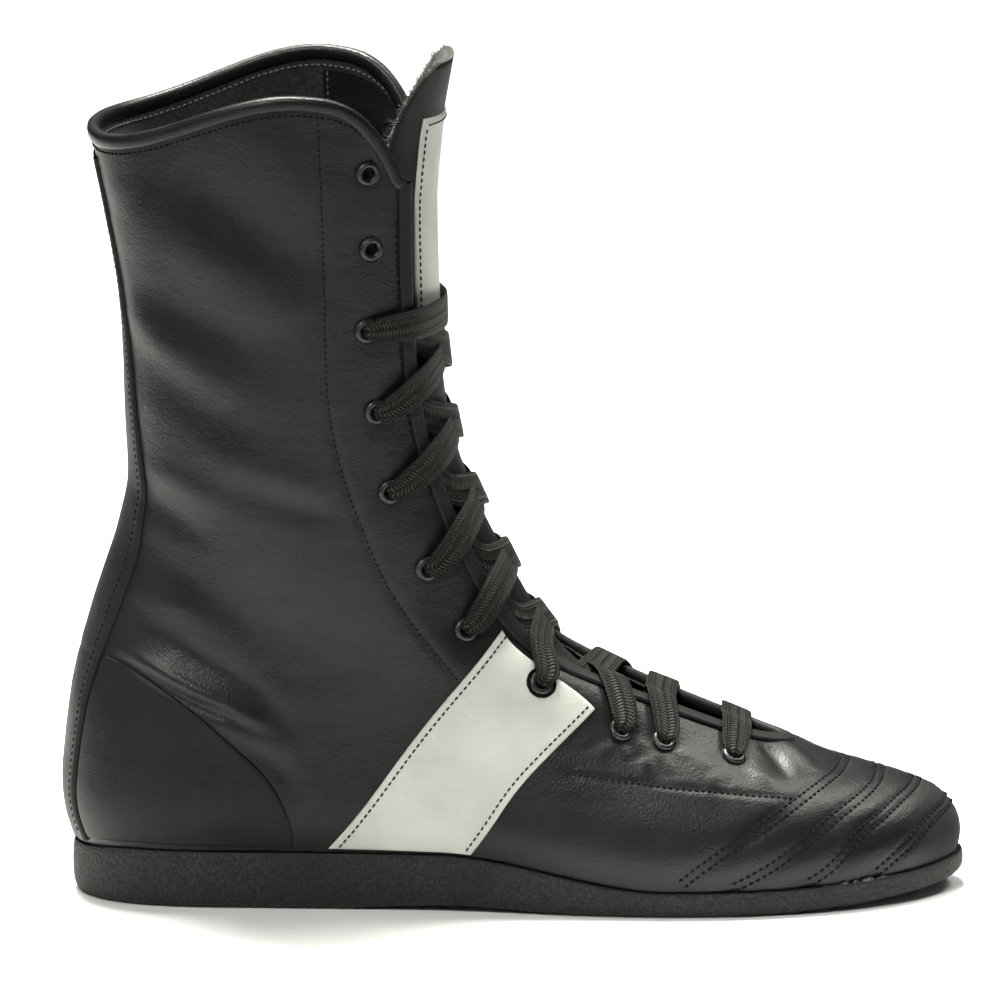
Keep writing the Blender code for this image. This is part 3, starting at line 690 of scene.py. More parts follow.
FOLDS = (
    Fold(((18.0, 85.0), (30.0, 79.5), (43.0, 73.0), (55.0, 67.8), (70.0, 60.0)), 1.0, 5.0),
    Fold(((18.0, 84.5), (30.0, 79.0), (43.0, 72.5), (55.0, 67.3), (68.0, 60.5)), 1.1, 2.4),
    Fold(((20.0, 80.5), (30.0, 75.0), (43.0, 68.4), (56.0, 62.8), (67.0, 56.6)), -1.2, 1.9),
    Fold(((24.0, 93.5), (38.0, 87.0), (46.0, 82.0), (58.0, 75.5), (68.0, 67.5), (76.0, 58.0)), -1.0, 4.0),
    Fold(((20.0, 105.0), (34.0, 101.0), (46.0, 96.0), (62.0, 85.5)), 1.5, 6.0),
    Fold(((50.0, 64.5), (62.0, 58.5), (72.0, 50.0)), 0.8, 3.6),
    Fold(((60.0, 57.0), (71.2, 47.5), (77.0, 36.0)), -0.8, 3.6),
    Fold(((46.0, 263.0), (66.0, 254.0), (85.0, 226.0)), 1.0, 11.0),
    Fold(((24.0, 231.0), (51.8, 214.4), (80.0, 194.0)), 1.5, 10.0),
    Fold(((22.0, 194.0), (38.8, 183.1), (58.0, 169.0)), 1.3, 8.5),
    Fold(((36.0, 246.0), (59.5, 228.5), (86.0, 209.0)), -1.3, 9.5),
    Fold(((22.0, 206.0), (45.3, 193.8), (72.0, 178.5)), -1.3, 8.5),
    Fold(((24.0, 180.0), (42.1, 169.9), (64.0, 155.0)), -1.0, 7.5),
    Fold(((27.0, 143.0), (40.5, 139.2), (54.0, 133.0)), 0.9, 5.0),
    Fold(((25.0, 133.5), (38.8, 127.1), (50.0, 119.0)), -0.8, 5.0),
    Fold(((42.0, 152.5), (64.7, 146.2), (90.0, 136.5)), 0.8, 6.0),
    Fold(((52.0, 141.0), (74.4, 134.7), (90.0, 130.0)), -0.6, 5.0),
    Fold(((227.0, 50.5), (231.5, 46.5), (235.5, 41.0)), -1.4, 2.8),
    Fold(((233.0, 50.0), (238.5, 46.0), (244.0, 41.5)), 1.1, 4.0),
    Fold(((224.0, 47.5), (227.5, 43.5), (231.0, 39.0)), 0.5, 2.6),
    Fold(((204.0, 53.0), (209.0, 47.0), (212.0, 42.0)), 0.5, 4.0),
    Fold(((186.0, 54.5), (189.5, 49.0), (191.5, 44.5)), 0.6, 3.2),
    Fold(((190.5, 52.0), (194.5, 46.5), (197.0, 43.0)), -0.5, 2.6),
    Fold(((150.0, 66.0), (158.0, 55.0), (163.0, 47.0)), 0.4, 4.0),
    Fold(FACING_LINE, -0.4, 1.6),
    Fold(VAMP_LINE, -0.45, 1.4),
)


def pulled_creases(rows: Sequence[int] = (8, 9, 10),
                   angles: Sequence[float] = (-150, -128, -106, -84, -62, -40), start: float = 4.6,
                   length: float = 8.5, height: float = 0.32, width: float = 1.7, uneven: float = 0.35,
                   flatten: float = 0.8) -> tuple[Fold, ...]:
    """Short creases that fan out under the lowest eyelets.

    Args:
        rows: Eyelet numbers from the collar, from 0.
        angles: Directions in degrees.
        start: Distance of each crease from its eyelet.
        length: Length of each crease.
        height: Height of the ridges and depth of the troughs.
        width: Width of each crease.
        uneven: How much the lengths differ.
        flatten: Share of the height of the fan.

    Returns:
        The creases, ridges and troughs in turn.
    """
    found = []
    for row in rows:
        x, z = EYELET_SPOTS[row]
        for number, angle in enumerate(angles):
            across, down = math.cos(math.radians(angle)), math.sin(math.radians(angle))
            reach = length * (1.0 + uneven * math.sin(3.1 * number + 1.7 * row))
            steps = (start, start + reach / 2, start + reach)
            line = tuple((x + across * step, z + down * step * flatten) for step in steps)
            found.append(Fold(line, height if number % 2 else -height, width))
    return tuple(found)


@dataclass
class Hide:
    """The upper's outer face: the last with its folds, padding and dimples."""

    last: Last = field(default_factory=Last)
    folds: tuple[Fold, ...] = FOLDS + pulled_creases()
    toe: ToeSeams = field(default_factory=ToeSeams)
    wobble_depth: float = 0.16
    wobble_waves: int = 14
    wobble_lengths: Span = (14.0, 42.0)
    fold_reach: float = 2.6
    dimple_depth: float = 0.5
    dimple_width: float = 5.5
    seed: int = 7

    def __post_init__(self) -> None:
        """Lay the folds, seams and eyelets on the last."""
        self.fold_traces = [(fold.width, *trace) for fold in self.folds for trace in fold.traces(self.last)]
        self.toe_traces = self.toe.traces(self.last)
        draws = np.random.RandomState(self.seed)
        directions = unit(draws.normal(size=(self.wobble_waves, 3)))
        lengths = draws.uniform(*self.wobble_lengths, size=self.wobble_waves)
        self.waves = directions * (math.tau / lengths)[:, None]
        self.phases = draws.uniform(0.0, math.tau, self.wobble_waves)
        self.eyelets = self.last.locate(EYELET_SPOTS)

    def wobble(self, points: Array) -> Array:
        """Slight unevenness of hand-pulled leather."""
        return self.wobble_depth * np.sin(points @ self.waves.T + self.phases).mean(axis=1) * 2.0

    def relief(self, points: Array, side: Array) -> Array:
        """Height of the leather over the last.

        Args:
            points: Points of the last.
            side: Side of each point.

        Returns:
            Heights with the shape of side.
        """
        shape = points.shape[:-1]
        flat = points.reshape(-1, 3)
        sides = np.broadcast_to(side, shape).reshape(-1)
        height = self.wobble(flat) + self.toe.relief(self.toe_traces, flat)
        for width, fold_side, trace, heights in self.fold_traces:
            reach = self.fold_reach * width
            inside = (flat > trace.min(axis=0) - reach) & (flat < trace.max(axis=0) + reach)
            near = np.flatnonzero(inside.all(axis=1) & (sides == fold_side))
            if len(near):
                gap, place = line_gap(flat[near], trace)
                tall = np.interp(place, np.arange(len(heights)), heights)
                height[near] += tall * np.exp(-(gap / width) ** 2)
        for eyelet_side in SIDES:
            for centre in self.last.point(eyelet_side, *self.eyelets):
                gap = np.linalg.norm(flat - centre, axis=1)
                height -= self.dimple_depth * np.exp(-(gap / self.dimple_width) ** 2)
        return height.reshape(shape)

    def at(self, side: Array, turn: Array, level: Array, lift: Array = 0.0) -> Array:
        """Points at a height above the leather.

        Args:
            side: -1 or 1.
            turn: Turns.
            level: Levels.
            lift: Heights above the leather.

        Returns:
            Points along the last axis.
        """
        side, turn, level, lift = np.broadcast_arrays(np.asarray(side, float), turn, level, lift)
        base = self.last.point(side, turn, level)
        return base + self.last.normal(side, turn, level) * (lift + self.relief(base, side))[..., None]


class Recipe:
    """Node tree of one material, put together a node at a time."""

    def __init__(self, name: str) -> None:
        """Start a material with a Principled shader and object coordinates.

        Args:
            name: Name of the material.
        """
        self.material = bpy.data.materials.new(name)
        self.material.use_nodes = True
        self.tree = self.material.node_tree
        self.shader = self.tree.nodes["Principled BSDF"]
        self.place = self.tree.nodes.new("ShaderNodeTexCoord").outputs["Object"]

    def settle(self, **values: float) -> None:
        """Set sockets of the shader, with spaces written as underscores."""
        for name, value in values.items():
            self.shader.inputs[name.replace("_", " ")].default_value = value

    def wear(self, socket: str, value: Socket) -> None:
        """Link a value to a socket of the shader."""
        self.tree.links.new(value, self.shader.inputs[socket])

    def node(self, kind: str, inputs: dict[str | int, object], **settings: object) -> bpy.types.Node:
        """Add a node.

        Args:
            kind: Node type without its ShaderNode prefix.
            inputs: Socket names or numbers with a value or a socket to link.
            **settings: Properties of the node.

        Returns:
            The node.
        """
        made = self.tree.nodes.new("ShaderNode" + kind)
        for name, value in settings.items():
            setattr(made, name, value)
        for name, value in inputs.items():
            if isinstance(value, Socket):
                self.tree.links.new(value, made.inputs[name])
            else:
                made.inputs[name].default_value = value
        return made

    def stretched(self, scale: tuple[float, float, float]) -> Socket:
        """Object coordinates scaled along each axis."""
        return self.node("Mapping", {"Vector": self.place, "Scale": scale}).outputs["Vector"]

    def noise(self, scale: float, detail: float = 3.0, place: Socket | None = None,
              roughness: float = 0.55) -> Socket:
        """Cloudy noise, with its scale in features to a metre."""
        inputs = {"Vector": place or self.place, "Scale": scale, "Detail": detail, "Roughness": roughness}
        return self.node("TexNoise", inputs).outputs["Fac"]

    def cells(self, scale: float, feature: str = "F1") -> Socket:
        """Distance in a field of cells, with its scale in cells to a metre."""
        made = self.node("TexVoronoi", {"Vector": self.place, "Scale": scale}, feature=feature)
        return made.outputs["Distance"]

    def ranged(self, value: Socket, low: float, high: float, to_low: float = 0.0,
               to_high: float = 1.0) -> Socket:
        """Value moved from one range to another and held inside it."""
        inputs = {"Value": value, "From Min": low, "From Max": high, "To Min": to_low, "To Max": to_high}
        return self.node("MapRange", inputs).outputs["Result"]

    def math(self, operation: str, first: Socket | float, second: Socket | float = 0.0) -> Socket:
        """Result of a sum on one or two values."""
        return self.node("Math", {0: first, 1: second}, operation=operation).outputs[0]

    def blended(self, share: Socket, first: Colour, second: Colour) -> Socket:
        """Colour between two colours, by the share of the second one."""
        inputs = {0: share, 6: (*first, 1.0), 7: (*second, 1.0)}
        return self.node("Mix", inputs, data_type="RGBA").outputs[2]

    def bumped(self, height: Socket, depth: float, strength: float, under: Socket | None = None) -> Socket:
        """Normal of a bumpy surface.

        Args:
            height: Height field.
            depth: Real depth in metres.
            strength: Share of the effect.
            under: Normal to add to.

        Returns:
            The normal.
        """
        inputs: dict[str | int, object] = {"Height": height, "Distance": depth, "Strength": strength}
        if under is not None:
            inputs["Normal"] = under
        return self.node("Bump", inputs).outputs["Normal"]


@dataclass(frozen=True)
class Finish:
    """A finish between a dark and a light tone."""

    name: str
    dark: Colour
    light: Colour

    def dress(self, mix: Recipe) -> None:
        """Put the nodes of the finish together, each kind in its own way."""
        raise NotImplementedError

    def tint(self, mix: Recipe, share: Socket) -> None:
        """Colour a material between the two tones."""
        mix.wear("Base Color", mix.blended(share, self.dark, self.light))

    def material(self) -> bpy.types.Material:
        """Make the material.

        Returns:
            The finished material.
        """
        mix = Recipe(self.name)
        self.dress(mix)
        return mix.material


@dataclass(frozen=True)
class Leather(Finish):
    """Smooth finished leather with a fine grain, dulled along the shoe where it is scuffed."""

    roughness: Span
    grain: float = 1500.0
    grain_depth: float = 0.00007
    wrinkle_depth: float = 0.00014
    swell_depth: float = 0.0005
    specular: float = 0.3
    scuff: Span | None = None
    scuff_dulling: float = 0.5

    def dress(self, mix: Recipe) -> None:
        """Pores over wrinkles over broad swells.

        Args:
            mix: Recipe of the material.
        """
        self.tint(mix, mix.ranged(mix.noise(38.0, 4.0), 0.35, 0.68))
        rough = mix.ranged(mix.noise(70.0, 5.0), 0.3, 0.7, *self.roughness)
        if self.scuff is not None:
            along = mix.node("SeparateXYZ", {"Vector": mix.place}).outputs["X"]
            rough = mix.math("ADD", rough, mix.ranged(along, *self.scuff, 0.0, self.scuff_dulling))
        mix.wear("Roughness", rough)
        pores = mix.ranged(mix.cells(self.grain, "SMOOTH_F1"), 0.1, 0.6)
        wrinkles = mix.noise(420.0, 4.0, mix.stretched((0.7, 1.0, 1.4)), 0.6)
        swells = mix.noise(95.0, 3.0, mix.stretched((0.8, 1.0, 1.3)), 0.5)
        normal = mix.bumped(pores, self.grain_depth, 0.8, mix.bumped(swells, self.swell_depth, 0.6))
        mix.wear("Normal", mix.bumped(wrinkles, self.wrinkle_depth, 0.7, normal))
        mix.settle(Specular_IOR_Level=self.specular)


@dataclass(frozen=True)
class Suede(Finish):
    """Napped leather with a short soft pile."""

    sheen: float = 0.25

    def dress(self, mix: Recipe) -> None:
        """Nap with paler blotches and a soft sheen.

        Args:
            mix: Recipe of the material.
        """
        nap = mix.noise(900.0, 5.0, None, 0.7)
        blotch = mix.ranged(mix.noise(70.0, 3.0), 0.25, 0.75, 0.5, 1.0)
        self.tint(mix, mix.math("MULTIPLY", mix.ranged(nap, 0.35, 0.7), blotch))
        mix.wear("Normal", mix.bumped(nap, 0.0004, 0.9))
        mix.settle(Roughness=0.95, Sheen_Weight=self.sheen, Sheen_Roughness=0.5, Specular_IOR_Level=0.2)


@dataclass(frozen=True)
class Rubber(Finish):
    """Matte granular rubber."""

    grain: float = 850.0

    def dress(self, mix: Recipe) -> None:
        """Crumb with pale specks where dust lies.

        Args:
            mix: Recipe of the material.
        """
        crumb = mix.cells(self.grain)
        fine = mix.noise(2600.0, 3.0)
        dust = mix.ranged(mix.noise(45.0, 5.0), 0.3, 0.75, 0.35, 1.0)
        specks = mix.math("MULTIPLY", mix.ranged(fine, 0.4, 0.7), mix.ranged(crumb, 0.25, 0.7, 1.0, 0.2))
        self.tint(mix, mix.math("MULTIPLY", specks, dust))
        mix.wear("Roughness", mix.ranged(fine, 0.3, 0.7, 0.62, 0.9))
        mix.wear("Normal", mix.bumped(fine, 0.0004, 0.9, mix.bumped(crumb, 0.0007, 1.0)))
        mix.settle(Specular_IOR_Level=0.4)


@dataclass(frozen=True)
class Woven(Finish):
    """Flat braided lace, read along its own length and width."""

    strands: float = 8.0
    pitch: float = 1.15
    slant: float = 0.9

    def dress(self, mix: Recipe) -> None:
        """Slanted strands in columns, from the width share and the length in millimetres, with painted shade
        in the gaps between strands.

        Args:
            mix: Recipe of the material.
        """
        spread = mix.node("SeparateXYZ", {"Vector": mix.node("UVMap", {}, uv_map="lace").outputs["UV"]})
        across = mix.math("MULTIPLY", spread.outputs["X"], self.strands)
        along = mix.math("MULTIPLY", spread.outputs["Y"], math.pi / self.pitch)
        slant = mix.math("MULTIPLY", mix.math("PINGPONG", across, 1.0), self.slant * math.pi)
        strand = mix.math("ABSOLUTE", mix.math("SINE", mix.math("ADD", along, slant)))
        column = mix.math("ABSOLUTE", mix.math("SINE", mix.math("MULTIPLY", across, math.pi)))
        crown_height_and_gap_shade = mix.math("MULTIPLY", strand, mix.math("POWER", column, 0.6))
        fuzz = mix.noise(2400.0, 3.0)
        pale = mix.ranged(fuzz, 0.25, 0.75, 0.35, 1.0)
        # Colour by crown height: the gaps between strands and columns hold painted shade, darker than the
        # lace's own tone.
        self.tint(mix, mix.math("MULTIPLY", mix.ranged(crown_height_and_gap_shade, 0.45, 0.95), pale))
        mix.wear("Normal", mix.bumped(fuzz, 0.00015, 0.6, mix.bumped(crown_height_and_gap_shade, 0.0008, 1.0)))
        mix.settle(Roughness=0.6, Specular_IOR_Level=0.18)


@dataclass(frozen=True)
class Enamel(Finish):
    """Painted metal, worn to a duller tone in small spots."""

    def dress(self, mix: Recipe) -> None:
        """Paint with worn spots.

        Args:
            mix: Recipe of the material.
        """
        spots = mix.noise(600.0, 4.0)
        self.tint(mix, mix.ranged(spots, 0.58, 0.75))
        mix.wear("Roughness", mix.ranged(spots, 0.3, 0.7, 0.28, 0.45))
        mix.wear("Normal", mix.bumped(mix.noise(300.0, 2.0), 0.0001, 0.3))
        mix.settle(Specular_IOR_Level=0.5)


@dataclass(frozen=True)
class Thread(Finish):
    """Twisted sewing thread."""

    def dress(self, mix: Recipe) -> None:
        """Fine uneven twist.

        Args:
            mix: Recipe of the material.
        """
        twist = mix.noise(2800.0, 2.0)
        self.tint(mix, mix.ranged(twist, 0.35, 0.65))
        mix.wear("Normal", mix.bumped(twist, 0.0001, 0.6))
        mix.settle(Roughness=0.75, Specular_IOR_Level=0.14)


BLACK_LEATHER = Leather("black_leather", (0.0036, 0.0035, 0.0034), (0.006, 0.0058, 0.0055), (0.36, 0.46),
                        scuff=(0.128, 0.143))
STRIP_LEATHER = Leather("strip_leather", (0.006, 0.0059, 0.0056), (0.010, 0.0098, 0.0094), (0.5, 0.62),
                        specular=0.17)
COUNTER_LEATHER = Leather("counter_leather", (0.0036, 0.0035, 0.0034), (0.006, 0.0058, 0.0055), (0.42, 0.52),
                          specular=0.22)
BINDING_LEATHER = Leather("binding_leather", (0.004, 0.004, 0.0038), (0.0065, 0.0064, 0.0062), (0.32, 0.44))
WHITE_LEATHER = Leather("white_leather", (0.39, 0.39, 0.362), (0.485, 0.485, 0.452), (0.42, 0.56),
                        grain_depth=0.00006, wrinkle_depth=0.00022)
DARK_SUEDE = Suede("dark_suede", (0.008, 0.0078, 0.0074), (0.05, 0.048, 0.044))
BROWN_SUEDE = Suede("brown_suede", (0.016, 0.014, 0.012), (0.06, 0.053, 0.046))
BLACK_RUBBER = Rubber("black_rubber", (0.006, 0.0061, 0.0058), (0.07, 0.071, 0.067))
PALE_CEMENT = Rubber("pale_cement", (0.05, 0.048, 0.043), (0.32, 0.31, 0.28))
# The lace's dark tone is painted shade for the gaps of its weave.
FLAT_LACE = Woven("flat_lace", (0.0015, 0.0014, 0.0011), (0.054, 0.048, 0.039))
BLACK_ENAMEL = Enamel("black_enamel", (0.006, 0.006, 0.006), (0.05, 0.05, 0.048))
DARK_THREAD = Thread("dark_thread", (0.002, 0.002, 0.002), (0.006, 0.0059, 0.0057))
PALE_THREAD = Thread("pale_thread", (0.10, 0.10, 0.095), (0.22, 0.22, 0.205))


class Workshop:
    """Makes pieces, dresses them and sets them on the shoe's body."""

    def __init__(self) -> None:
        """Start with no finishes made."""
        self.finishes: dict[str, bpy.types.Material] = {}

    def finish(self, finish: Finish) -> bpy.types.Material:
        """Material of a finish, made once.

        Args:
            finish: The finish.

        Returns:
            Its material.
        """
        if finish.name not in self.finishes:
            self.finishes[finish.name] = finish.material()
        return self.finishes[finish.name]

    def piece(self, name: str, points: Array, faces: Array, finish: Finish, slot: Slot,
              nodes: Sequence[str] = (), back: Finish | None = None, weld: bool = False) -> bpy.types.Object:
        """Make a smooth mesh piece that rides on the shoe.

        Args:
            name: Name of the piece.
            points: Points in the shoe's own frame.
            faces: Corner numbers, one face a row.
            finish: Its finish.
            slot: Material slot of the record; not used.
            nodes: CAD nodes that it stands for.
            back: Finish of a second material, for an inner face.
            weld: Whether points in one place are joined.

        Returns:
            The piece.
        """
        mesh = bpy.data.meshes.new(name)
        mesh.from_pydata(in_metres(points.reshape(-1, 3)).tolist(), [], faces.tolist())
        made = bpy.data.objects.new(name, mesh)
        bpy.context.scene.collection.objects.link(made)
        if weld:
            self.weld(mesh)
        mesh.shade_smooth()
        mesh.materials.append(self.finish(finish))
        if back is not None:
            mesh.materials.append(self.finish(back))
        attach(made, "root")
        if nodes:
            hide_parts(*nodes)
        log.info("%s: %d faces", name, len(mesh.polygons))
        return made

    @staticmethod
    def weld(mesh: bpy.types.Mesh, reach: float = 0.000005) -> None:
        """Join points of a mesh that lie in one place.

        Args:
            mesh: The mesh.
            reach: Metres up to which points are in one place.
        """
        shape = bmesh.new()
        shape.from_mesh(mesh)
        bmesh.ops.remove_doubles(shape, verts=shape.verts, dist=reach)
        shape.to_mesh(mesh)
        shape.free()

    @staticmethod
    def thicken(piece: bpy.types.Object, thickness: float) -> None:
        """Give a sheet a thickness towards its inner side, which wears the second material.

        Args:
            piece: The sheet.
            thickness: Millimetres.
        """
        wall = piece.modifiers.new("thickness", "SOLIDIFY")
        wall.thickness = thickness * MM
        wall.offset = -1.0
        wall.use_quality_normals = True
        wall.material_offset = 1
        wall.material_offset_rim = 1


@dataclass
class Part:
    """A sub-assembly that is made over the hide in the workshop."""

    hide: Hide
    shop: Workshop

    @property
    def last(self) -> Last:
        """The form under the hide."""
        return self.hide.last


@dataclass
class Shell(Part):
    """The black leather upper and the lining behind it."""

    half_columns: int = 180
    row_steps: tuple[tuple[float, int], ...] = ((5.0, 120), (5.3, 12), (8.0, 43), (12.0, 72))
    lining_columns: int = 110
    lining_rows: int = 150
    lining_foot: float = 0.25
    wall: float = 2.0
    lasting_margin: float = 8.0
    hole: float = 2.6
    hole_reach: float = 3.1
    panel_rows: int = 90
    panel_columns: int = 40
    panel_lift: float = -2.35
    panel_edge: float = 0.3

    def levels(self) -> Array:
        """Levels of the rows, closer together at the toe and the end of the throat.

        Returns:
            The levels from the sole to the collar.
        """
        found = [np.zeros(1)]
        for high, count in self.row_steps:
            found.append(np.linspace(found[-1][-1], high, count + 1)[1:])
        return np.concatenate(found)

    def sheet(self, half: int, level: Array, lift: float = 0.0) -> tuple[Array, Array, Array]:
        """Points from the medial throat edge round the back to the lateral one.

        Args:
            half: Columns on each half.
            level: Level of each row.
            lift: Height over the leather.

        Returns:
            Side of each column, turns and points.
        """
        side, share = round_the_back(np.linspace(0.0, 1.0, half + 1))
        turn = self.last.column_turn(side, share, level[:, None])
        return side, turn, self.hide.at(side, turn, level[:, None], lift)

    def punched(self, name: str, points: Array, flip: bool, finish: Finish, slot: Slot,
                nodes: Sequence[str] = (), weld: bool = True) -> None:
        """Make a piece with the eyelet holes open.

        Args:
            name: Name of the piece.
            points: Rows of points.
            flip: Whether its faces look the other way.
            finish: Its finish.
            slot: Material slot of the record.
            nodes: CAD nodes that it stands for.
            weld: Whether points in one place are joined.
        """
        faces = grid_faces(*points.shape[:2])
        faces = faces[:, ::-1] if flip else faces
        flat = points.reshape(-1, 3)
        inside = np.zeros(len(flat), bool)
        for side in SIDES:
            centres, axes = (found(side, *self.hide.eyelets) for found in (self.last.point, self.last.normal))
            for centre, axis in zip(centres, axes):
                inside |= punch(flat, centre, axis, self.hole, self.hole_reach)
        self.shop.piece(name, flat, faces[~inside[faces].all(axis=1)], finish, slot, nodes, weld=weld)

    def outer(self) -> None:
        """Black leather from the lasting margin to the collar."""
        side, turn, points = self.sheet(self.half_columns, self.levels())
        under = points[0] - self.last.outward_in_plan(side, turn[0]) * self.lasting_margin
        under[:, 2] = self.last.sole_top(under[:, 0]) + self.last.fit_gap
        grid = np.concatenate([under[None], points])
        self.punched("upper_leather", grid, False, BLACK_LEATHER, Slot.BLACK, ("upper",))

    def lining(self) -> None:
        """Suede lining inside the upper."""
        level = np.linspace(self.lining_foot, self.last.top, self.lining_rows)
        points = self.sheet(self.lining_columns, level, -self.wall)[2]
        self.punched("lining", points, True, DARK_SUEDE, Slot.LINING)

    def facing_panel(self, side: int) -> None:
        """Smooth leather panel inside the facing, from the facing seam to the throat edge.

        Args:
            side: -1 or 1.
        """
        spots = smooth_line(FACING_LINE[:6], self.panel_rows)
        if side == MEDIAL:
            spots[:, 0] -= MEDIAL_SHIFT
        turn, level = self.last.locate(spots)
        share = np.concatenate([[0.0, 0.004], np.linspace(0.02, 1.0, self.panel_columns)])
        lift = np.full(len(share), self.panel_lift)
        lift[0] += self.panel_edge
        turns = turn[:, None] + (self.last.throat_turn(side, level) - turn)[:, None] * share
        points = self.hide.at(side, turns, level[:, None], lift)
        name = "facing_lining_" + side_name(side)
        self.punched(name, points, side == MEDIAL, BLACK_LEATHER, Slot.BLACK, weld=False)

    def build(self) -> None:
        """Make the leather, the lining and the inner facings."""
        self.outer()
        self.lining()
        for side in SIDES:
            self.facing_panel(side)


class PanelGrid(NamedTuple):
    """Columns and rows of a panel, with its rough width and length."""

    columns: int
    width: float
    rows: int
    length: float


@dataclass
class Panels(Part):
    """Leather pieces sewn on the upper: heel counters, back strip and white side panels."""

    thickness: float = 0.8
    bevel: tuple[float, ...] = (0.0, 0.0, 0.25, 0.8)
    drop: tuple[float, ...] = (-0.5, 0.35, 0.75, 1.0)
    flat_start: float = 1.6
    edge_points: int = 60
    saddle_grid: PanelGrid = PanelGrid(64, 42.0, 100, 85.0)
    counter_grid: PanelGrid = PanelGrid(60, 50.0, 70, 70.0)
    counter_points: int = 40
    counter_top: float = 80.5
    level_height: float = 18.0
    seam: float = 0.9
    strip_half: float = 16.5
    strip_levels: Span = (0.12, 11.8)
    strip_rows: int = 260
    strip_columns: int = 40
    strip_roll: float = 0.5
    strip_roll_inset: float = 1.4
    strip_roll_width: float = 1.1
    strip_seam_depth: float = 0.2
    saddle_hole: float = 4.5
    saddle_hole_reach: float = 5.2
    saddle_hole_sink: float = 0.6
    saddle_eyelet: int = 7

    def rounded(self, count: int, length: float) -> Pair:
        """Shares and lifts across so many rows of a panel of a rough length."""
        bevel = np.array(self.bevel) / length
        return rounded_spread(count, bevel, np.array(self.drop), self.flat_start / length, self.thickness)

    def between(self, node: str, side: int, starts: Pair, ends: Pair,
                grid: PanelGrid, finish: Finish, slot: Slot, hole: bool = False) -> None:
        """Panel between two edge lines.

        Args:
            node: CAD node that it stands for.
            side: -1 or 1.
            starts: Turns and levels of the first edge.
            ends: Turns and levels of the second edge.
            grid: Its rows and columns.
            finish: Its finish.
            slot: Material slot.
            hole: Whether an eyelet comes through it.
        """
        across, across_lift = self.rounded(grid.columns, grid.width)
        along, along_lift = self.rounded(grid.rows, grid.length)
        known = np.arange(len(starts[0]))
        places = []
        for edges in zip(starts, ends):
            first, second = (np.interp(along * known[-1], known, edge)[:, None] for edge in edges)
            places.append(first + (second - first) * across)
        lift = np.minimum(across_lift, along_lift[:, None])
        points = self.hide.at(side, *places, lift).reshape(-1, 3)
        faces = grid_faces(len(along), len(across))
        if side == MEDIAL:
            faces = faces[:, ::-1]
        if hole:
            place = [values[self.saddle_eyelet] for values in self.hide.eyelets]
            centre, axis = self.last.point(side, *place), self.last.normal(side, *place)
            near = punch(points, centre, axis, self.saddle_hole, self.saddle_hole_reach,
                         self.saddle_hole_sink)
            faces = faces[~near[faces].all(axis=1)]
        self.shop.piece(node + "_panel", points, faces, finish, slot, (node,))

    def saddle(self, side: int) -> None:
        """White panel from the sole to the throat strip.

        Args:
            side: -1 or 1.
        """
        lines = (smooth_line(line, self.edge_points) for line in (SADDLE_REAR, SADDLE_FRONT))
        starts, ends = (self.last.locate(line) for line in lines)
        self.between("saddle_" + side_name(side), side, starts, ends, self.saddle_grid, WHITE_LEATHER,
                     Slot.WHITE, True)

    def counter(self, side: int) -> None:
        """Heel panel beside the back strip.

        Args:
            side: -1 or 1.
        """
        ends = self.last.locate(smooth_line(COUNTER_EDGE, self.counter_points))
        z = np.linspace(COUNTER_EDGE[0][1], self.counter_top, self.counter_points)
        level = np.full(self.counter_points, 0.25)
        for _ in range(40):
            turn = self.last.turn_at_width(side, level, self.strip_half + self.seam, False)
            level = level + (z - self.last.point(side, turn, level)[:, 2]) / self.level_height
        self.between("counter_" + side_name(side), side, (turn, level), ends, self.counter_grid,
                     COUNTER_LEATHER, Slot.BLACK)

    def back_strip(self) -> None:
        """Strip over the back seam with rolled edges."""
        level = np.linspace(*self.strip_levels, self.strip_rows)[:, None]
        share, lift = self.rounded(self.strip_columns, 2.0 * self.strip_half)
        offset = (share * 2.0 - 1.0) * self.strip_half
        from_roll = np.abs(offset) - self.strip_half + self.strip_roll_inset
        lift = lift + self.strip_roll * np.exp(-(from_roll / self.strip_roll_width) ** 2)
        height = self.last.point(LATERAL, 0.0, level)[..., 2]
        seam = self.strip_seam_depth * np.exp(-(height - self.counter_top) ** 2)
        side = np.where(offset < 0.0, MEDIAL, LATERAL)
        turn = self.last.turn_at_width(side, level, np.abs(offset), False)
        points = self.hide.at(side, turn, level, lift - seam)
        faces = grid_faces(*points.shape[:2])
        self.shop.piece("back_strip", points, faces, STRIP_LEATHER, Slot.BLACK, ("backstay",))

    def build(self) -> None:
        """Make every sewn panel."""
        self.back_strip()
        for side in SIDES:
            self.counter(side)
            self.saddle(side)


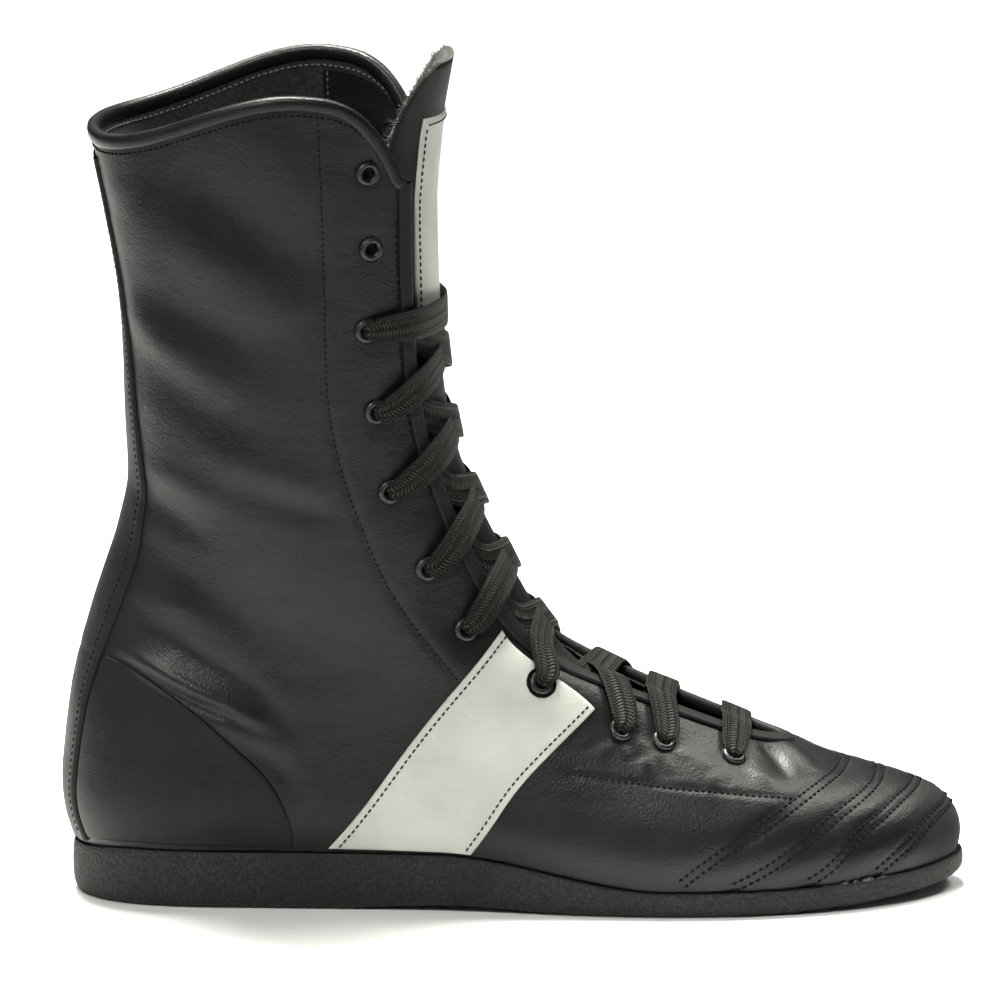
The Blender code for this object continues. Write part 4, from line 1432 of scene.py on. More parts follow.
@dataclass
class Bindings(Part):
    """Rolled collar binding and the folded strip round the throat."""

    collar_profile: Line = ((0.1, -3.5), (0.65, -3.4), (0.95, -2.7), (1.1, -1.5), (1.05, -0.3), (0.65, 0.6),
                            (-0.2, 1.1), (-1.0, 1.2), (-1.8, 1.1), (-2.65, 0.6), (-3.05, -0.3),
                            (-3.1, -1.5), (-2.9, -2.7), (-2.6, -3.4), (-2.1, -3.5))
    throat_profile: Line = ((0.1, -4.3), (0.7, -4.2), (0.95, -3.6), (1.0, -1.6), (0.95, 0.0), (0.5, 0.9),
                            (-0.3, 1.35), (-1.0, 1.45), (-1.7, 1.35), (-2.5, 0.9), (-2.95, 0.0),
                            (-3.0, -1.6), (-2.9, -3.6), (-2.1, -4.2))
    profile_middle: Span = (-1.0, -1.5)
    collar_steps: int = 150
    collar_taper: float = 0.03
    least_girth: float = 0.04
    throat_steps: int = 170
    throat_top: float = 0.03

    def sweep(self, name: str, side: Array, turn: Array, level: Array, over: Array, profile: Line,
              node: str, finish: Finish, girth: Array | float = 1.0) -> None:
        """Strip swept along an edge of the upper.

        Args:
            name: Name of the piece.
            side: Side of each station.
            turn: Turn of each station.
            level: Level of each station.
            over: A point beyond the edge at each station.
            profile: Outward distances and distances beyond the edge.
            node: CAD node that it stands for.
            finish: Its finish.
            girth: Size of the profile at each station.
        """
        edge = self.hide.at(side, turn, level)
        outward = self.last.normal(side, turn, level)
        beyond = unit(np.cross(outward, np.gradient(edge, axis=0)))
        beyond *= np.sign(((over - edge) * beyond).sum(-1, keepdims=True))
        middle = np.array(self.profile_middle)
        size = np.broadcast_to(girth, (len(edge),))[:, None, None]
        shape = middle + (np.array(profile) - middle)[None] * size
        rings = edge[:, None, :] + outward[:, None, :] * shape[..., :1] + beyond[:, None, :] * shape[..., 1:]
        self.shop.piece(name, rings, grid_faces(len(edge), len(profile)), finish, Slot.BLACK, (node,))

    def collar(self) -> None:
        """Binding round the collar edge."""
        side, share = round_the_back(np.linspace(0.0, 1.0, self.collar_steps))
        level = np.full(len(share), self.last.top)
        turn = self.last.column_turn(side, share, level)
        over = self.last.point(side, turn, level) + np.array((0.0, 0.0, 5.0))
        girth = np.sqrt(np.clip((1.0 - share) / self.collar_taper, self.least_girth, 1.0))
        self.sweep("collar_roll", side, turn, level, over, self.collar_profile, "collar_binding",
                   BINDING_LEATHER, girth)

    def throat(self) -> None:
        """Folded strip down one throat edge, round its lower end and up the other."""
        reach = self.last.top - self.throat_top - self.last.throat_end
        share = np.linspace(0.0, 1.0, self.throat_steps)
        side, level = round_the_back(self.last.throat_end + reach * share ** 2)
        turn = self.last.throat_turn(side, level)
        over = self.last.point(side, np.full(len(level), math.pi), level + 0.2)
        self.sweep("throat_strip", side, turn, level, over, self.throat_profile, "throat_binding",
                   STRIP_LEATHER)

    def build(self) -> None:
        """Make both bindings."""
        self.collar()
        self.throat()


class TongueRow(NamedTuple):
    """Half width and forward lean of the tongue at a level."""

    level: float
    half_width: float
    lean: float


@dataclass
class Tongue(Part):
    """The tongue under the facings with its white patch."""

    table: tuple[TongueRow, ...] = (
        TongueRow(4.2, 17.0, 0.0), TongueRow(4.55, 19.0, 0.0), TongueRow(4.9, 21.0, 0.0),
        TongueRow(5.6, 24.0, 0.0), TongueRow(6.4, 26.5, 0.0), TongueRow(7.2, 28.5, 0.0),
        TongueRow(8.0, 30.0, 0.0), TongueRow(9.0, 31.5, 0.0), TongueRow(10.0, 32.5, 0.0),
        TongueRow(11.0, 33.0, 0.0), TongueRow(11.7, 33.0, 0.2), TongueRow(12.2, 32.0, 2.0),
        TongueRow(12.45, 29.5, 3.8), TongueRow(12.64, 25.0, 5.2), TongueRow(12.75, 17.0, 6.0),
    )
    rows: int = 150
    columns: int = 48
    thickness: float = 2.2
    wave: float = 0.25
    wave_rate: float = 5.0
    wall: float = 2.0
    sewn_clear: float = 0.4
    sewn_level: float = 4.5
    sewn_blend: float = 0.35
    clear: float = 3.2
    top_clear: float = 1.2
    top_level: float = 10.6
    patch_levels: Span = (10.82, 12.34)
    patch_half: float = 21.0
    patch_rows: int = 60
    patch_columns: int = 44
    patch_lift: float = 0.7
    patch_bevel: tuple[float, ...] = (0.0, 0.0, 0.006, 0.02)
    patch_drop: tuple[float, ...] = (-0.6, 0.3, 0.85, 1.0)
    patch_flat_start: float = 0.04
    fibres: int = 420
    fibre_start: float = 12.0
    fibre_length: Span = (0.6, 2.4)
    fibre_girth: tuple[float, ...] = (0.14, 0.12, 0.05)
    fibre_splay: float = 0.6
    fibre_bend: float = 0.5
    fibre_seed: int = 3

    def sized(self, level: Array) -> Pair:
        """Half widths and forward leans at levels."""
        levels, widths, leans = np.array(self.table).T
        return np.interp(level, levels, widths), np.interp(level, levels, leans)

    def depth(self, level: Array) -> Array:
        """Depth of the tongue's outer face under the last's surface.

        Args:
            level: Levels of the last.

        Returns:
            Depths.
        """
        free = ease((level - self.sewn_level) / self.sewn_blend)
        top = self.top_clear * ease((level - self.top_level) / (self.last.top - self.top_level))
        return self.wall + self.sewn_clear + (self.clear - self.sewn_clear) * free + top

    def at(self, offset: Array, level: Array, lift: Array = 0.0) -> Array:
        """Points over the tongue's outer face.

        Args:
            offset: Distance from its middle, lateral side negative.
            level: Levels of the last.
            lift: Heights over its face.

        Returns:
            Points along the last axis.
        """
        offset, level, lift = np.broadcast_arrays(np.asarray(offset, float), level, lift)
        side = np.where(offset > 0.0, MEDIAL, LATERAL)
        turn = self.last.turn_at_width(side, level, np.abs(offset))
        points = self.last.point(side, turn, level, False)
        points = points + self.last.normal(side, turn, level, False) * (lift - self.depth(level))[..., None]
        points[..., 0] += self.sized(level)[1]
        return points

    def leather(self) -> None:
        """Leather front with a suede back."""
        level = np.linspace(self.table[0].level, self.table[-1].level, self.rows)[:, None]
        share = np.linspace(-1.0, 1.0, self.columns + 1)
        wave = self.wave * np.sin(level * self.wave_rate) * share ** 2
        points = self.at(self.sized(level)[0] * share, level, wave)
        faces = grid_faces(self.rows, self.columns + 1)
        made = self.shop.piece("tongue_leather", points, faces, STRIP_LEATHER, Slot.BLACK, ("tongue",),
                               BROWN_SUEDE)
        self.shop.thicken(made, self.thickness)

    def patch(self) -> None:
        """Bare white patch sewn on the front."""
        low, high = self.patch_levels
        bevel, drop = np.array(self.patch_bevel), np.array(self.patch_drop)
        (along, along_lift), (across, across_lift) = (
            rounded_spread(count, bevel, drop, self.patch_flat_start, self.patch_lift)
            for count in (self.patch_rows, self.patch_columns))
        lift = np.minimum(along_lift[:, None], across_lift)
        offset = (across * 2.0 - 1.0) * self.patch_half
        points = self.at(offset, (low + (high - low) * along)[:, None], lift)
        faces = grid_faces(*points.shape[:2])
        self.shop.piece("tongue_patch_leather", points, faces, WHITE_LEATHER, Slot.WHITE, ("tongue_patch",))

    def fray(self) -> None:
        """Loose fibres round the cut edge of the tongue's top."""
        draws = np.random.RandomState(self.fibre_seed)
        count, rings = self.fibres, len(self.fibre_girth)
        level = draws.uniform(self.fibre_start, self.table[-1].level, count)
        side = np.where(draws.uniform(size=count) < 0.5, LATERAL, MEDIAL)
        half = self.sized(level)[0]
        lift = -draws.uniform(0.4, self.thickness, count)
        root = self.at(side * half, level, lift)
        inner = self.at(side * half * 0.8, level - 0.05, lift)
        away = unit(root - inner + draws.normal(size=(count, 3)) * self.fibre_splay)
        bend = draws.normal(size=(count, 3)) * self.fibre_bend
        length = draws.uniform(*self.fibre_length, count)[:, None]
        middle = root + away * length * 0.5 + bend * 0.2
        spine = np.stack([root - away * 0.3, middle, root + away * length + bend], 1)
        cosines, sines = circle(rings)
        aside = unit(np.cross(away, np.array((0.3, 0.9, 0.2))))
        other = np.cross(away, aside)
        ring = aside[:, None, :] * cosines[None, :, None] + other[:, None, :] * sines[None, :, None]
        points = spine[:, :, None, :] + ring[:, None] * np.array(self.fibre_girth)[None, :, None, None]
        faces = repeated(grid_faces(rings, rings, True), count)
        self.shop.piece("tongue_fray", points, faces, DARK_SUEDE, Slot.LINING)

    def build(self) -> None:
        """Make the tongue, its patch and its frayed edge."""
        self.leather()
        self.patch()
        self.fray()


@dataclass
class Sole(Part):
    """Rubber wedge, its line of cement and the insole over it."""

    stations: int = 150
    margin_heel: float = 1.0
    margin_fore: float = 1.9
    margin_blend: Span = (100.0, 200.0)
    wall_profile: Line = ((1.0, -0.55), (1.0, -0.15), (0.93, 0.1), (0.8, 0.3), (0.6, 0.4), (0.42, 0.35),
                          (0.27, 0.15), (0.16, -0.2), (0.08, -0.8), (0.02, -1.7), (0.0, -3.0))
    tread_steps: int = 14
    insole_profile: Line = ((0.0, 0.6), (0.3, 0.1), (0.7, 0.1), (1.0, 0.7))
    insole_steps: int = 12
    insole_thickness: float = 3.0
    insole_inset: float = 3.0
    insole_level: float = 0.1
    upper_wall: float = 2.0
    cement_turns: Span = (2.32, 2.62)
    cement_steps: int = 120
    cement_sides: int = 6
    cement_girth: float = 1.8
    cement_margin: float = 1.0
    cement_lift: float = 0.1
    cement_blur: int = 5
    cement_seed: int = 11

    @property
    def turn(self) -> Array:
        """Turns of the stations from the back to the front."""
        return np.linspace(0.0, math.pi, self.stations)

    def outline(self, side: int, turn: Array, margin: Array) -> Array:
        """Feather edge in plan, moved outwards by a margin."""
        return self.last.point(side, turn, 0.0) + self.last.outward_in_plan(side, turn) * margin[:, None]

    @staticmethod
    def bridge(first: Array, second: Array, steps: int) -> Array:
        """Points straight across from one rim to the other, without the rims."""
        return first + (second - first) * np.linspace(0.0, 1.0, steps)[1:-1, None]

    def wall(self, side: int) -> Array:
        """Points of a half ring from the top edge down the wall to the tread.

        Args:
            side: -1 or 1.

        Returns:
            Stations by points by coordinates.
        """
        start, end = self.margin_blend
        blend = ease((self.last.point(LATERAL, self.turn, 0.0)[:, 0] - start) / (end - start))
        margin = self.margin_heel + (self.margin_fore - self.margin_heel) * blend
        columns = []
        for height, out in self.wall_profile:
            rim = self.outline(side, self.turn, margin + out)
            low = self.last.sole_bottom(rim[:, 0])
            rim[:, 2] = low + (self.last.sole_top(rim[:, 0]) - low) * height
            columns.append(rim)
        return np.stack(columns, 1)

    def outsole(self) -> None:
        """Rubber wedge under the whole foot."""
        near, far = (self.wall(side) for side in SIDES)
        tread = self.bridge(near[:, -1:], far[:, -1:], self.tread_steps)
        tread[..., 2] = self.last.sole_bottom(tread[..., 0])
        cover = self.bridge(far[:, :1], near[:, :1], self.tread_steps)
        ring = np.concatenate([near, tread, far[:, ::-1], cover], axis=1)
        faces = grid_faces(*ring.shape[:2], True)
        self.shop.piece("outsole_rubber", ring, faces, BLACK_RUBBER, Slot.RUBBER, ("outsole",), weld=True)

    def insole_rim(self, side: int) -> Array:
        """Rounded rim of half the insole.

        Args:
            side: -1 or 1.

        Returns:
            Stations by points by coordinates.
        """
        place = (side, self.turn, np.full(self.stations, self.insole_level))
        rim = self.last.point(*place) - self.last.normal(*place) * self.insole_inset
        low = self.last.sole_top(rim[:, 0]) + 2.0 * self.last.fit_gap + self.upper_wall
        rows = [np.stack([rim[:, 0], rim[:, 1] - side * inset, low + self.insole_thickness * height], -1)
                for height, inset in self.insole_profile]
        return np.stack(rows, 1)

    def insole(self) -> None:
        """Flat insole with rounded rims."""
        near, far = (self.insole_rim(side) for side in SIDES)
        cover = self.bridge(near[:, -1:], far[:, -1:], self.insole_steps)
        under = self.bridge(far[:, :1], near[:, :1], self.insole_steps)
        ring = np.concatenate([near, cover, far[:, ::-1], under], axis=1)
        faces = grid_faces(*ring.shape[:2], True)[:, ::-1]
        self.shop.piece("insole_liner", ring, faces, DARK_SUEDE, Slot.INSOLE, ("insole",), weld=True)

    def cement(self) -> None:
        """Thin broken line of dried cement between the sole and the leather at the lateral toe."""
        count = self.cement_steps
        turn = np.linspace(*self.cement_turns, count)
        rim = self.outline(LATERAL, turn, np.full(count, self.cement_margin))
        rim[:, 2] = self.last.sole_top(rim[:, 0]) + self.cement_lift
        draws = np.random.RandomState(self.cement_seed)
        blur = np.ones(self.cement_blur) / self.cement_blur
        girth = np.convolve(draws.uniform(-0.5, 1.0, count), blur, "same")
        girth = np.maximum(girth * np.sin(np.linspace(0.0, math.pi, count)), 0.0) * self.cement_girth
        cosines, sines = circle(self.cement_sides)
        ring = np.stack([np.zeros(self.cement_sides), -cosines, sines], -1)
        points = rim[:, None, :] + ring[None] * girth[:, None, None]
        faces = grid_faces(count, self.cement_sides, True)
        self.shop.piece("sole_cement", points, faces, PALE_CEMENT, Slot.RUBBER)

    def build(self) -> None:
        """Make the outsole, its cement line and the insole."""
        self.outsole()
        self.cement()
        self.insole()


@dataclass
class Eyelets(Part):
    """Black rings set in the facings."""

    profile: Line = ((2.0, -3.0), (2.0, 0.2), (2.15, 0.75), (2.6, 1.15), (3.1, 1.2), (3.6, 0.95),
                     (3.95, 0.5), (4.0, 0.1), (3.9, -0.5), (2.8, -0.9), (2.7, -2.6), (3.6, -2.75),
                     (3.5, -3.15), (2.3, -3.3))
    steps: int = 32
    seat: float = 0.45

    def build(self) -> None:
        """Make all rings in one mesh."""
        cosines, sines = circle(self.steps)
        radius, height = np.array(self.profile).T
        local = np.stack([cosines[:, None] * radius, sines[:, None] * radius,
                          np.broadcast_to(height, (self.steps, len(radius)))], -1)
        a = np.arange(local[..., 0].size).reshape(local.shape[:2])
        b, c = np.roll(a, -1, 0), np.roll(a, -1, 1)
        quads = np.stack([a, c, np.roll(c, -1, 0), b], -1).reshape(-1, 4)
        points, nodes = [], []
        for side in SIDES:
            centres = self.hide.at(side, *self.hide.eyelets)
            axes = self.last.normal(side, *self.hide.eyelets)
            for number, (centre, axis) in enumerate(zip(centres, axes), 1):
                first = unit(np.cross(axis, np.array((0.3, 0.1, 1.0))))
                basis = np.stack([first, np.cross(axis, first), axis])
                points.append(local @ basis + centre + axis * self.seat)
                nodes.append(f"eyelet_{side_name(side)}_{number:02d}")
        faces = repeated(quads, len(points))
        self.shop.piece("eyelet_rings", np.stack(points), faces, BLACK_ENAMEL, Slot.RING, nodes)


class Stop(NamedTuple):
    """A place that the lace passes: point, outward direction, width share, pull of that direction."""

    point: Array
    outward: Array
    width: float
    pull: float


class Through(NamedTuple):
    """A stop at an eyelet: distance outwards and to the throat, width share and pull."""

    out: float
    inward: float
    width: float
    pull: float


@dataclass
class Lace(Part):
    """One flat lace, run from one top laced eyelet down to the lowest bar, up again and over the top bar."""

    tongue: Tongue
    width: float = 11.0
    thickness: float = 1.1
    bunching: float = 0.9
    steps: int = 16
    ring: int = 14
    flatness: Span = (0.42, 0.6)
    eyelet: tuple[Through, ...] = (
        Through(-3.6, 5.0, 0.75, 0.2), Through(-3.0, 0.5, 0.44, 0.0), Through(-0.6, -0.25, 0.44, 0.0),
        Through(1.6, 0.5, 0.54, 0.0), Through(2.3, 4.0, 0.8, 0.25),
    )
    top_row: int = 2
    low_row: int = 10
    pull: float = 0.3
    edge_width: float = 0.95
    edge_lift: float = 2.3
    edge_reach: float = 0.6
    tongue_lift: float = 1.9
    overlap: float = 0.65
    edge_share: float = 0.22
    end_share: float = 0.78
    end_inset: float = 5.0
    under_share: float = 0.92
    under_reach: float = 1.5
    under_lift: float = 1.3
    under_width: float = 0.9
    tightness: float = 0.85
    near_reach: float = 20.0

    def frame_at(self, side: int, row: int) -> tuple[Array, Array, Array, float]:
        """Place, outward direction, direction to the throat and throat level of an eyelet.

        Args:
            side: -1 or 1.
            row: Eyelet number from the collar, from 0.

        Returns:
            Centre, outward and inward directions, and level of the near throat edge.
        """
        turn, level = (values[row] for values in self.hide.eyelets)
        centre = self.hide.at(side, turn, level)
        levels = np.linspace(self.last.throat_end + 0.05, self.last.top - 0.05, 240)
        edge = self.last.point(side, self.last.throat_turn(side, levels), levels)
        best = int(np.argmin(np.linalg.norm(edge - centre, axis=1)))
        outward = self.last.normal(side, turn, level)
        return centre, outward, level_with(edge[best] - centre, outward), float(levels[best])

    def edge_stop(self, side: int, level: float) -> Stop:
        """Stop over the throat strip.

        Args:
            side: -1 or 1.
            level: Level of the throat edge.

        Returns:
            The stop.
        """
        turn = self.last.throat_turn(side, level)
        outward = self.last.normal(side, turn, level)
        point = self.last.point(side, turn, level)
        towards = level_with(self.last.point(side, math.pi, level) - point, outward)
        place = point + outward * self.edge_lift + towards * self.edge_reach
        return Stop(place, outward, self.edge_width, self.pull)

    def tongue_stop(self, offset: float, level: float, lift: float, width: float = 1.0) -> Stop:
        """Stop over the tongue.

        Args:
            offset: Distance from the tongue's middle, lateral side negative.
            level: Level of the last.
            lift: Height over the tongue.
            width: Width share of the lace.

        Returns:
            The stop.
        """
        side = MEDIAL if offset > 0.0 else LATERAL
        turn = self.last.turn_at_width(side, level, abs(offset))
        outward = self.last.normal(side, turn, level, False)
        return Stop(self.tongue.at(offset, level, lift), outward, width, self.pull)

    def out_of(self, side: int, row: int) -> list[Stop]:
        """Stops up through an eyelet of a row and out towards the throat."""
        centre, outward, towards, _ = self.frame_at(side, row)
        return [Stop(centre + outward * stop.out + towards * stop.inward, outward, stop.width, stop.pull)
                for stop in self.eyelet]

    def over_tongue(self, first: Stop, second: Stop, lift: float) -> Stop:
        """Stop half way between two stops, drawn tight but not into the tongue.

        Args:
            first: Stop on one side of the throat.
            second: Stop on the other side.
            lift: Least height over the tongue.

        Returns:
            The stop.
        """
        levels = np.linspace(self.last.throat_end, self.last.top, 500)
        ridge = self.tongue.at(np.zeros(500), levels)
        middle = (first.point + second.point) / 2.0
        level = float(levels[np.argmin(np.linalg.norm(ridge - middle, axis=1))])
        rest = self.tongue_stop(0.0, level, 0.0)
        height = float((middle - rest.point) @ rest.outward) * self.tightness
        return Stop(rest.point + rest.outward * max(lift, height), rest.outward, 1.0, self.pull)

    def crossing(self, side: int, row: int) -> list[Stop]:
        """Stops from an eyelet over the tongue to the inside of the far facing one row up.

        Args:
            side: Side that the run starts on.
            row: Row that it starts from.

        Returns:
            Stops in order, without those inside the far eyelet.
        """
        low = self.frame_at(side, row)[3]
        rise = self.frame_at(-side, row - 1)[3] - low
        end = low + rise * self.end_share
        gap = float(self.last.throat_gap(np.array(end)))
        lift = self.tongue_lift + (self.overlap if side == MEDIAL else -self.overlap)
        near = self.edge_stop(side, low + rise * self.edge_share)
        far = self.tongue_stop(-side * (gap - self.end_inset), end, self.tongue_lift)
        under = self.tongue_stop(-side * (gap + self.under_reach), low + rise * self.under_share,
                                 self.under_lift, self.under_width)
        return [near, self.over_tongue(near, far, lift), far, under]

    def bar(self, row: int) -> list[Stop]:
        """Stops straight across the throat from the lateral to the medial eyelet of a row."""
        near, far = (self.edge_stop(side, self.frame_at(side, row)[3]) for side in SIDES)
        return [near, self.over_tongue(near, far, self.tongue_lift + self.overlap), far]

    def half_route(self, side: int) -> list[Stop]:
        """Stops of one lace half from the lowest bar to the top laced eyelet.

        Args:
            side: Side on which the half leaves the lowest bar.

        Returns:
            Stops in order.
        """
        stops = list(reversed(self.out_of(side, self.low_row)))
        here = side
        for row in range(self.low_row - 1, self.top_row, -1):
            stops += self.out_of(here, row) + self.crossing(here, row)
            here = -here
        return stops + self.out_of(here, self.top_row)

    def route(self) -> list[Stop]:
        """Stops of the whole lace, from the first half's top eyelet to the far end of the top bar.

        Returns:
            Stops in order.
        """
        first, second = self.half_route(LATERAL), self.half_route(MEDIAL)
        low, top = self.bar(self.low_row), self.bar(self.top_row)
        if np.linalg.norm(second[-1].point - top[0].point) > self.near_reach:
            top = top[::-1]
        return list(reversed(first)) + low + second + top

    def laid_flat(self, line: Array, outs: Array, pull: Array) -> Pair:
        """Directions across the lace and out of its face, turned no more than the stops ask.

        Args:
            line: Points of its middle.
            outs: Outward directions there.
            pull: How strongly its face turns to them.

        Returns:
            Directions across and out.
        """
        tangent = unit(np.gradient(line, axis=0))
        aside = np.zeros_like(line)
        current = unit(np.cross(tangent[0], outs[0]))
        for number, ahead in enumerate(tangent):
            current = unit(current - ahead * (current @ ahead))
            wanted = unit(np.cross(ahead, outs[number]))
            wanted = wanted if wanted @ current > 0.0 else -wanted
            current = unit(current + (wanted - current) * pull[number])
            aside[number] = current
        return aside, unit(np.cross(aside, tangent))

    def ribbon(self, stops: list[Stop]) -> Pair:
        """Rings of the lace along its stops, and the length at each.

        Args:
            stops: Stops in order.

        Returns:
            Rings by points by coordinates, and lengths.
        """
        points = np.array([stop.point for stop in stops])
        numbers = np.arange(len(stops))
        chord = np.concatenate([[0.0], np.cumsum(np.sqrt(np.linalg.norm(np.diff(points, axis=0), axis=1)))])
        slopes = np.gradient(points, chord, axis=0)
        parts = np.linspace(0.0, 1.0, self.steps, endpoint=False)
        place = np.append((numbers[:-1, None] + parts).ravel(), numbers[-1])
        low = np.minimum(place.astype(int), len(stops) - 2)
        u = (place - low)[:, None]
        span = np.diff(chord)[low][:, None]
        line = ((1 + 2 * u) * (1 - u) ** 2 * points[low] + u * (1 - u) ** 2 * span * slopes[low]
                + u * u * (3 - 2 * u) * points[low + 1] + u * u * (u - 1) * span * slopes[low + 1])
        share = np.interp(place, numbers, [stop.width for stop in stops])
        pull = np.interp(place, numbers, [stop.pull for stop in stops])
        outs = np.array([stop.outward for stop in stops])
        aside, rise = self.laid_flat(line, outs[low] * (1.0 - u) + outs[low + 1] * u, pull)
        width = share * self.width / 2.0
        thick = self.thickness / 2.0 * (1.0 + self.bunching * (1.0 - np.clip(share, 0.0, 1.0)))
        flat, tall = (np.sign(wave) * np.abs(wave) ** power
                      for wave, power in zip(circle(self.ring), self.flatness))
        rings = (line[:, None, :] + aside[:, None, :] * (width[:, None] * flat)[..., None]
                 + rise[:, None, :] * (thick[:, None] * tall)[..., None])
        return rings, lengths_along(line)

    def build(self) -> None:
        """Make the lace with coordinates along its width and length."""
        rings, length = self.ribbon(self.route())
        nodes = ["lace_bar_top", "lace_bar_bottom"] + [f"lace_cross_{number}" for number in range(1, 8)]
        quads = grid_faces(*rings.shape[:2], True)
        mesh = self.shop.piece("flat_lace", rings, quads, FLAT_LACE, Slot.LACE, nodes).data
        layer = mesh.uv_layers.new(name="lace")
        corners = np.empty(len(mesh.loops), int)
        mesh.loops.foreach_get("vertex_index", corners)
        across = 0.5 + 0.5 * circle(self.ring)[0][corners % self.ring]
        along = length[corners // self.ring]
        layer.data.foreach_set("uv", np.stack([across, along], -1).astype(np.float32).ravel())


class Sewing(Enum):
    """Pitch of the stitches and radius of the thread in each kind of row."""

    THROAT = (2.5, 0.36)
    SEAM = (2.1, 0.28)
    TOE = (2.4, 0.42)
    TOE_RIDGE = (2.9, 0.75)
    SADDLE = (2.2, 0.3)
    EDGE = (2.3, 0.3)
    INNER = (2.2, 0.24)
    COLLAR = (2.0, 0.36)


class Seam(NamedTuple):
    """A sewn line of the side view: points, their count and shift, lift of the thread and kind of row."""

    line: Line
    count: int
    shift: Span
    lift: float
    sewing: Sewing


@dataclass
class Stitching(Part):
    """Rows of stitches, each stitch a small bead of thread that dips into the leather at its ends."""

    tongue: Tongue
    share: float = 0.7
    sides: int = 6
    bead: Line = ((-0.5, -0.9), (-0.4, -0.1), (-0.15, 0.35), (0.15, 0.35), (0.4, -0.1), (0.5, -0.9))
    bead_girth: tuple[float, ...] = (0.45, 0.85, 1.0, 1.0, 0.85, 0.45)
    throat_lift: float = 0.05
    throat_inset: float = 5.1
    throat_ends: Span = (0.3, 0.4)
    toe_lift: float = 0.12
    ridge_reach: int = 3
    seams: tuple[Seam, ...] = (
        Seam(FACING_LINE, 160, (0.0, 0.0), 0.05, Sewing.SEAM),
        Seam(VAMP_LINE, 160, (0.0, 0.0), 0.05, Sewing.SEAM),
        Seam(SADDLE_REAR, 120, (1.804, -1.21), 0.85, Sewing.SADDLE),
        Seam(SADDLE_FRONT, 120, (-1.804, 1.21), 0.85, Sewing.SADDLE),
    )
    strip_lift: float = 0.9
    strip_half: float = 13.6
    strip_levels: Span = (0.3, 11.6)
    inner_lift: float = -2.45
    inner_inset: float = 1.6
    inner_turn: float = 0.13
    inner_levels: Span = (9.0, 11.75)
    collar_shares: Span = (0.02, 0.97)
    collar_outside: Span = (5.2, 0.05)
    collar_inside: Span = (5.6, -2.15)
    patch_inset: float = 2.2
    patch_end: float = 0.05
    patch_lift: float = 0.1

    def row(self, points: Array, normals: Array, sewing: Sewing) -> Array:
        """Stitches along a line.

        Args:
            points: Points of the line.
            normals: Outward directions there.
            sewing: Kind of row.

        Returns:
            Stitches by rings by points by coordinates.
        """
        pitch, radius = sewing.value
        length = lengths_along(points)
        centres = np.arange(pitch * 0.6, length[-1] - pitch * 0.4, pitch)
        at, behind, ahead, out = (
            np.stack([np.interp(centres + step, length, values[:, axis]) for axis in range(3)], -1)
            for values, step in ((points, 0.0), (points, -0.5), (points, 0.5), (normals, 0.0)))
        out, along = unit(out), unit(ahead - behind)
        aside = unit(np.cross(along, out))
        cosines, sines = circle(self.sides)
        reach, rise = np.array(self.bead).T
        girth = np.array(self.bead_girth) * radius
        spine = (at[:, None, :] + along[:, None, :] * (reach * pitch * self.share)[None, :, None]
                 + out[:, None, :] * (rise * radius)[None, :, None])
        around = (aside[:, None, None, :] * cosines[None, None, :, None]
                  + out[:, None, None, :] * sines[None, None, :, None])
        return spine[:, :, None, :] + around * girth[None, :, None, None]

    def on_hide(self, side: Array, turn: Array, level: Array, lift: float = 0.0, aside: float = 0.0
                ) -> Pair:
        """Line on the leather, moved aside if asked.

        Args:
            side: Side of each point.
            turn: Turns.
            level: Levels.
            lift: Height over the leather.
            aside: Distance to one side of the line.

        Returns:
            Points and outward directions.
        """
        base = self.last.point(side, turn, level)
        normal = self.last.normal(side, turn, level)
        if aside:
            base = base + unit(np.cross(normal, np.gradient(base, axis=0))) * aside
        return base + normal * (self.hide.relief(base, side) + lift)[..., None], normal

    def inside(self, side: int, turn: Array, level: Array) -> Array:
        """Row of pale stitches on the inner face of a facing."""
        points, normals = self.on_hide(side, turn, level, self.inner_lift)
        return self.row(points, -normals, Sewing.INNER)

    def joined(self, name: str, rows: list[Array], finish: Thread) -> None:
        """Make one piece of many stitches.

        Args:
            name: Name of the piece.
            rows: Stitches of each row.
            finish: Thread.
        """
        stitches = np.concatenate(rows)
        faces = repeated(grid_faces(len(self.bead), self.sides, True), len(stitches))
        self.shop.piece(name, stitches, faces, finish, Slot.THREAD)

    def throat_row(self, side: int) -> Array:
        """Row beside the throat strip.

        Args:
            side: -1 or 1.

        Returns:
            The stitches.
        """
        low, high = self.throat_ends
        level = np.linspace(self.last.throat_end + low, self.last.top - high, 260)
        turn = self.last.throat_turn(side, level)
        step = 0.01
        beside = self.last.point(side, turn - step, level)
        speed = np.linalg.norm(self.last.point(side, turn, level) - beside, axis=1)
        line = self.on_hide(side, turn - self.throat_inset * step / speed, level, self.throat_lift)
        return self.row(*line, Sewing.THROAT)

    def toe_rows(self) -> list[Array]:
        """Both rows of every toe seam, with a longer stitch where they cross the ridge.

        Returns:
            Stitches of each row.
        """
        rows = []
        toe = self.hide.toe
        for number in range(len(toe.lines)):
            for aside in (-toe.row_offset, toe.row_offset):
                points, normals = self.on_hide(*toe.places(number), self.toe_lift, aside)
                rows.append(self.row(points, normals, Sewing.TOE))
                middle = len(points) // 2
                ridge = slice(middle - self.ridge_reach, middle + self.ridge_reach + 1)
                rows.append(self.row(points[ridge], normals[ridge], Sewing.TOE_RIDGE))
        return rows

    def seam_row(self, side: int, seam: Seam) -> Array:
        """Row along a line of the side view."""
        place = self.last.locate(smooth_line(seam.line, seam.count) + np.array(seam.shift))
        return self.row(*self.on_hide(side, *place, seam.lift), seam.sewing)

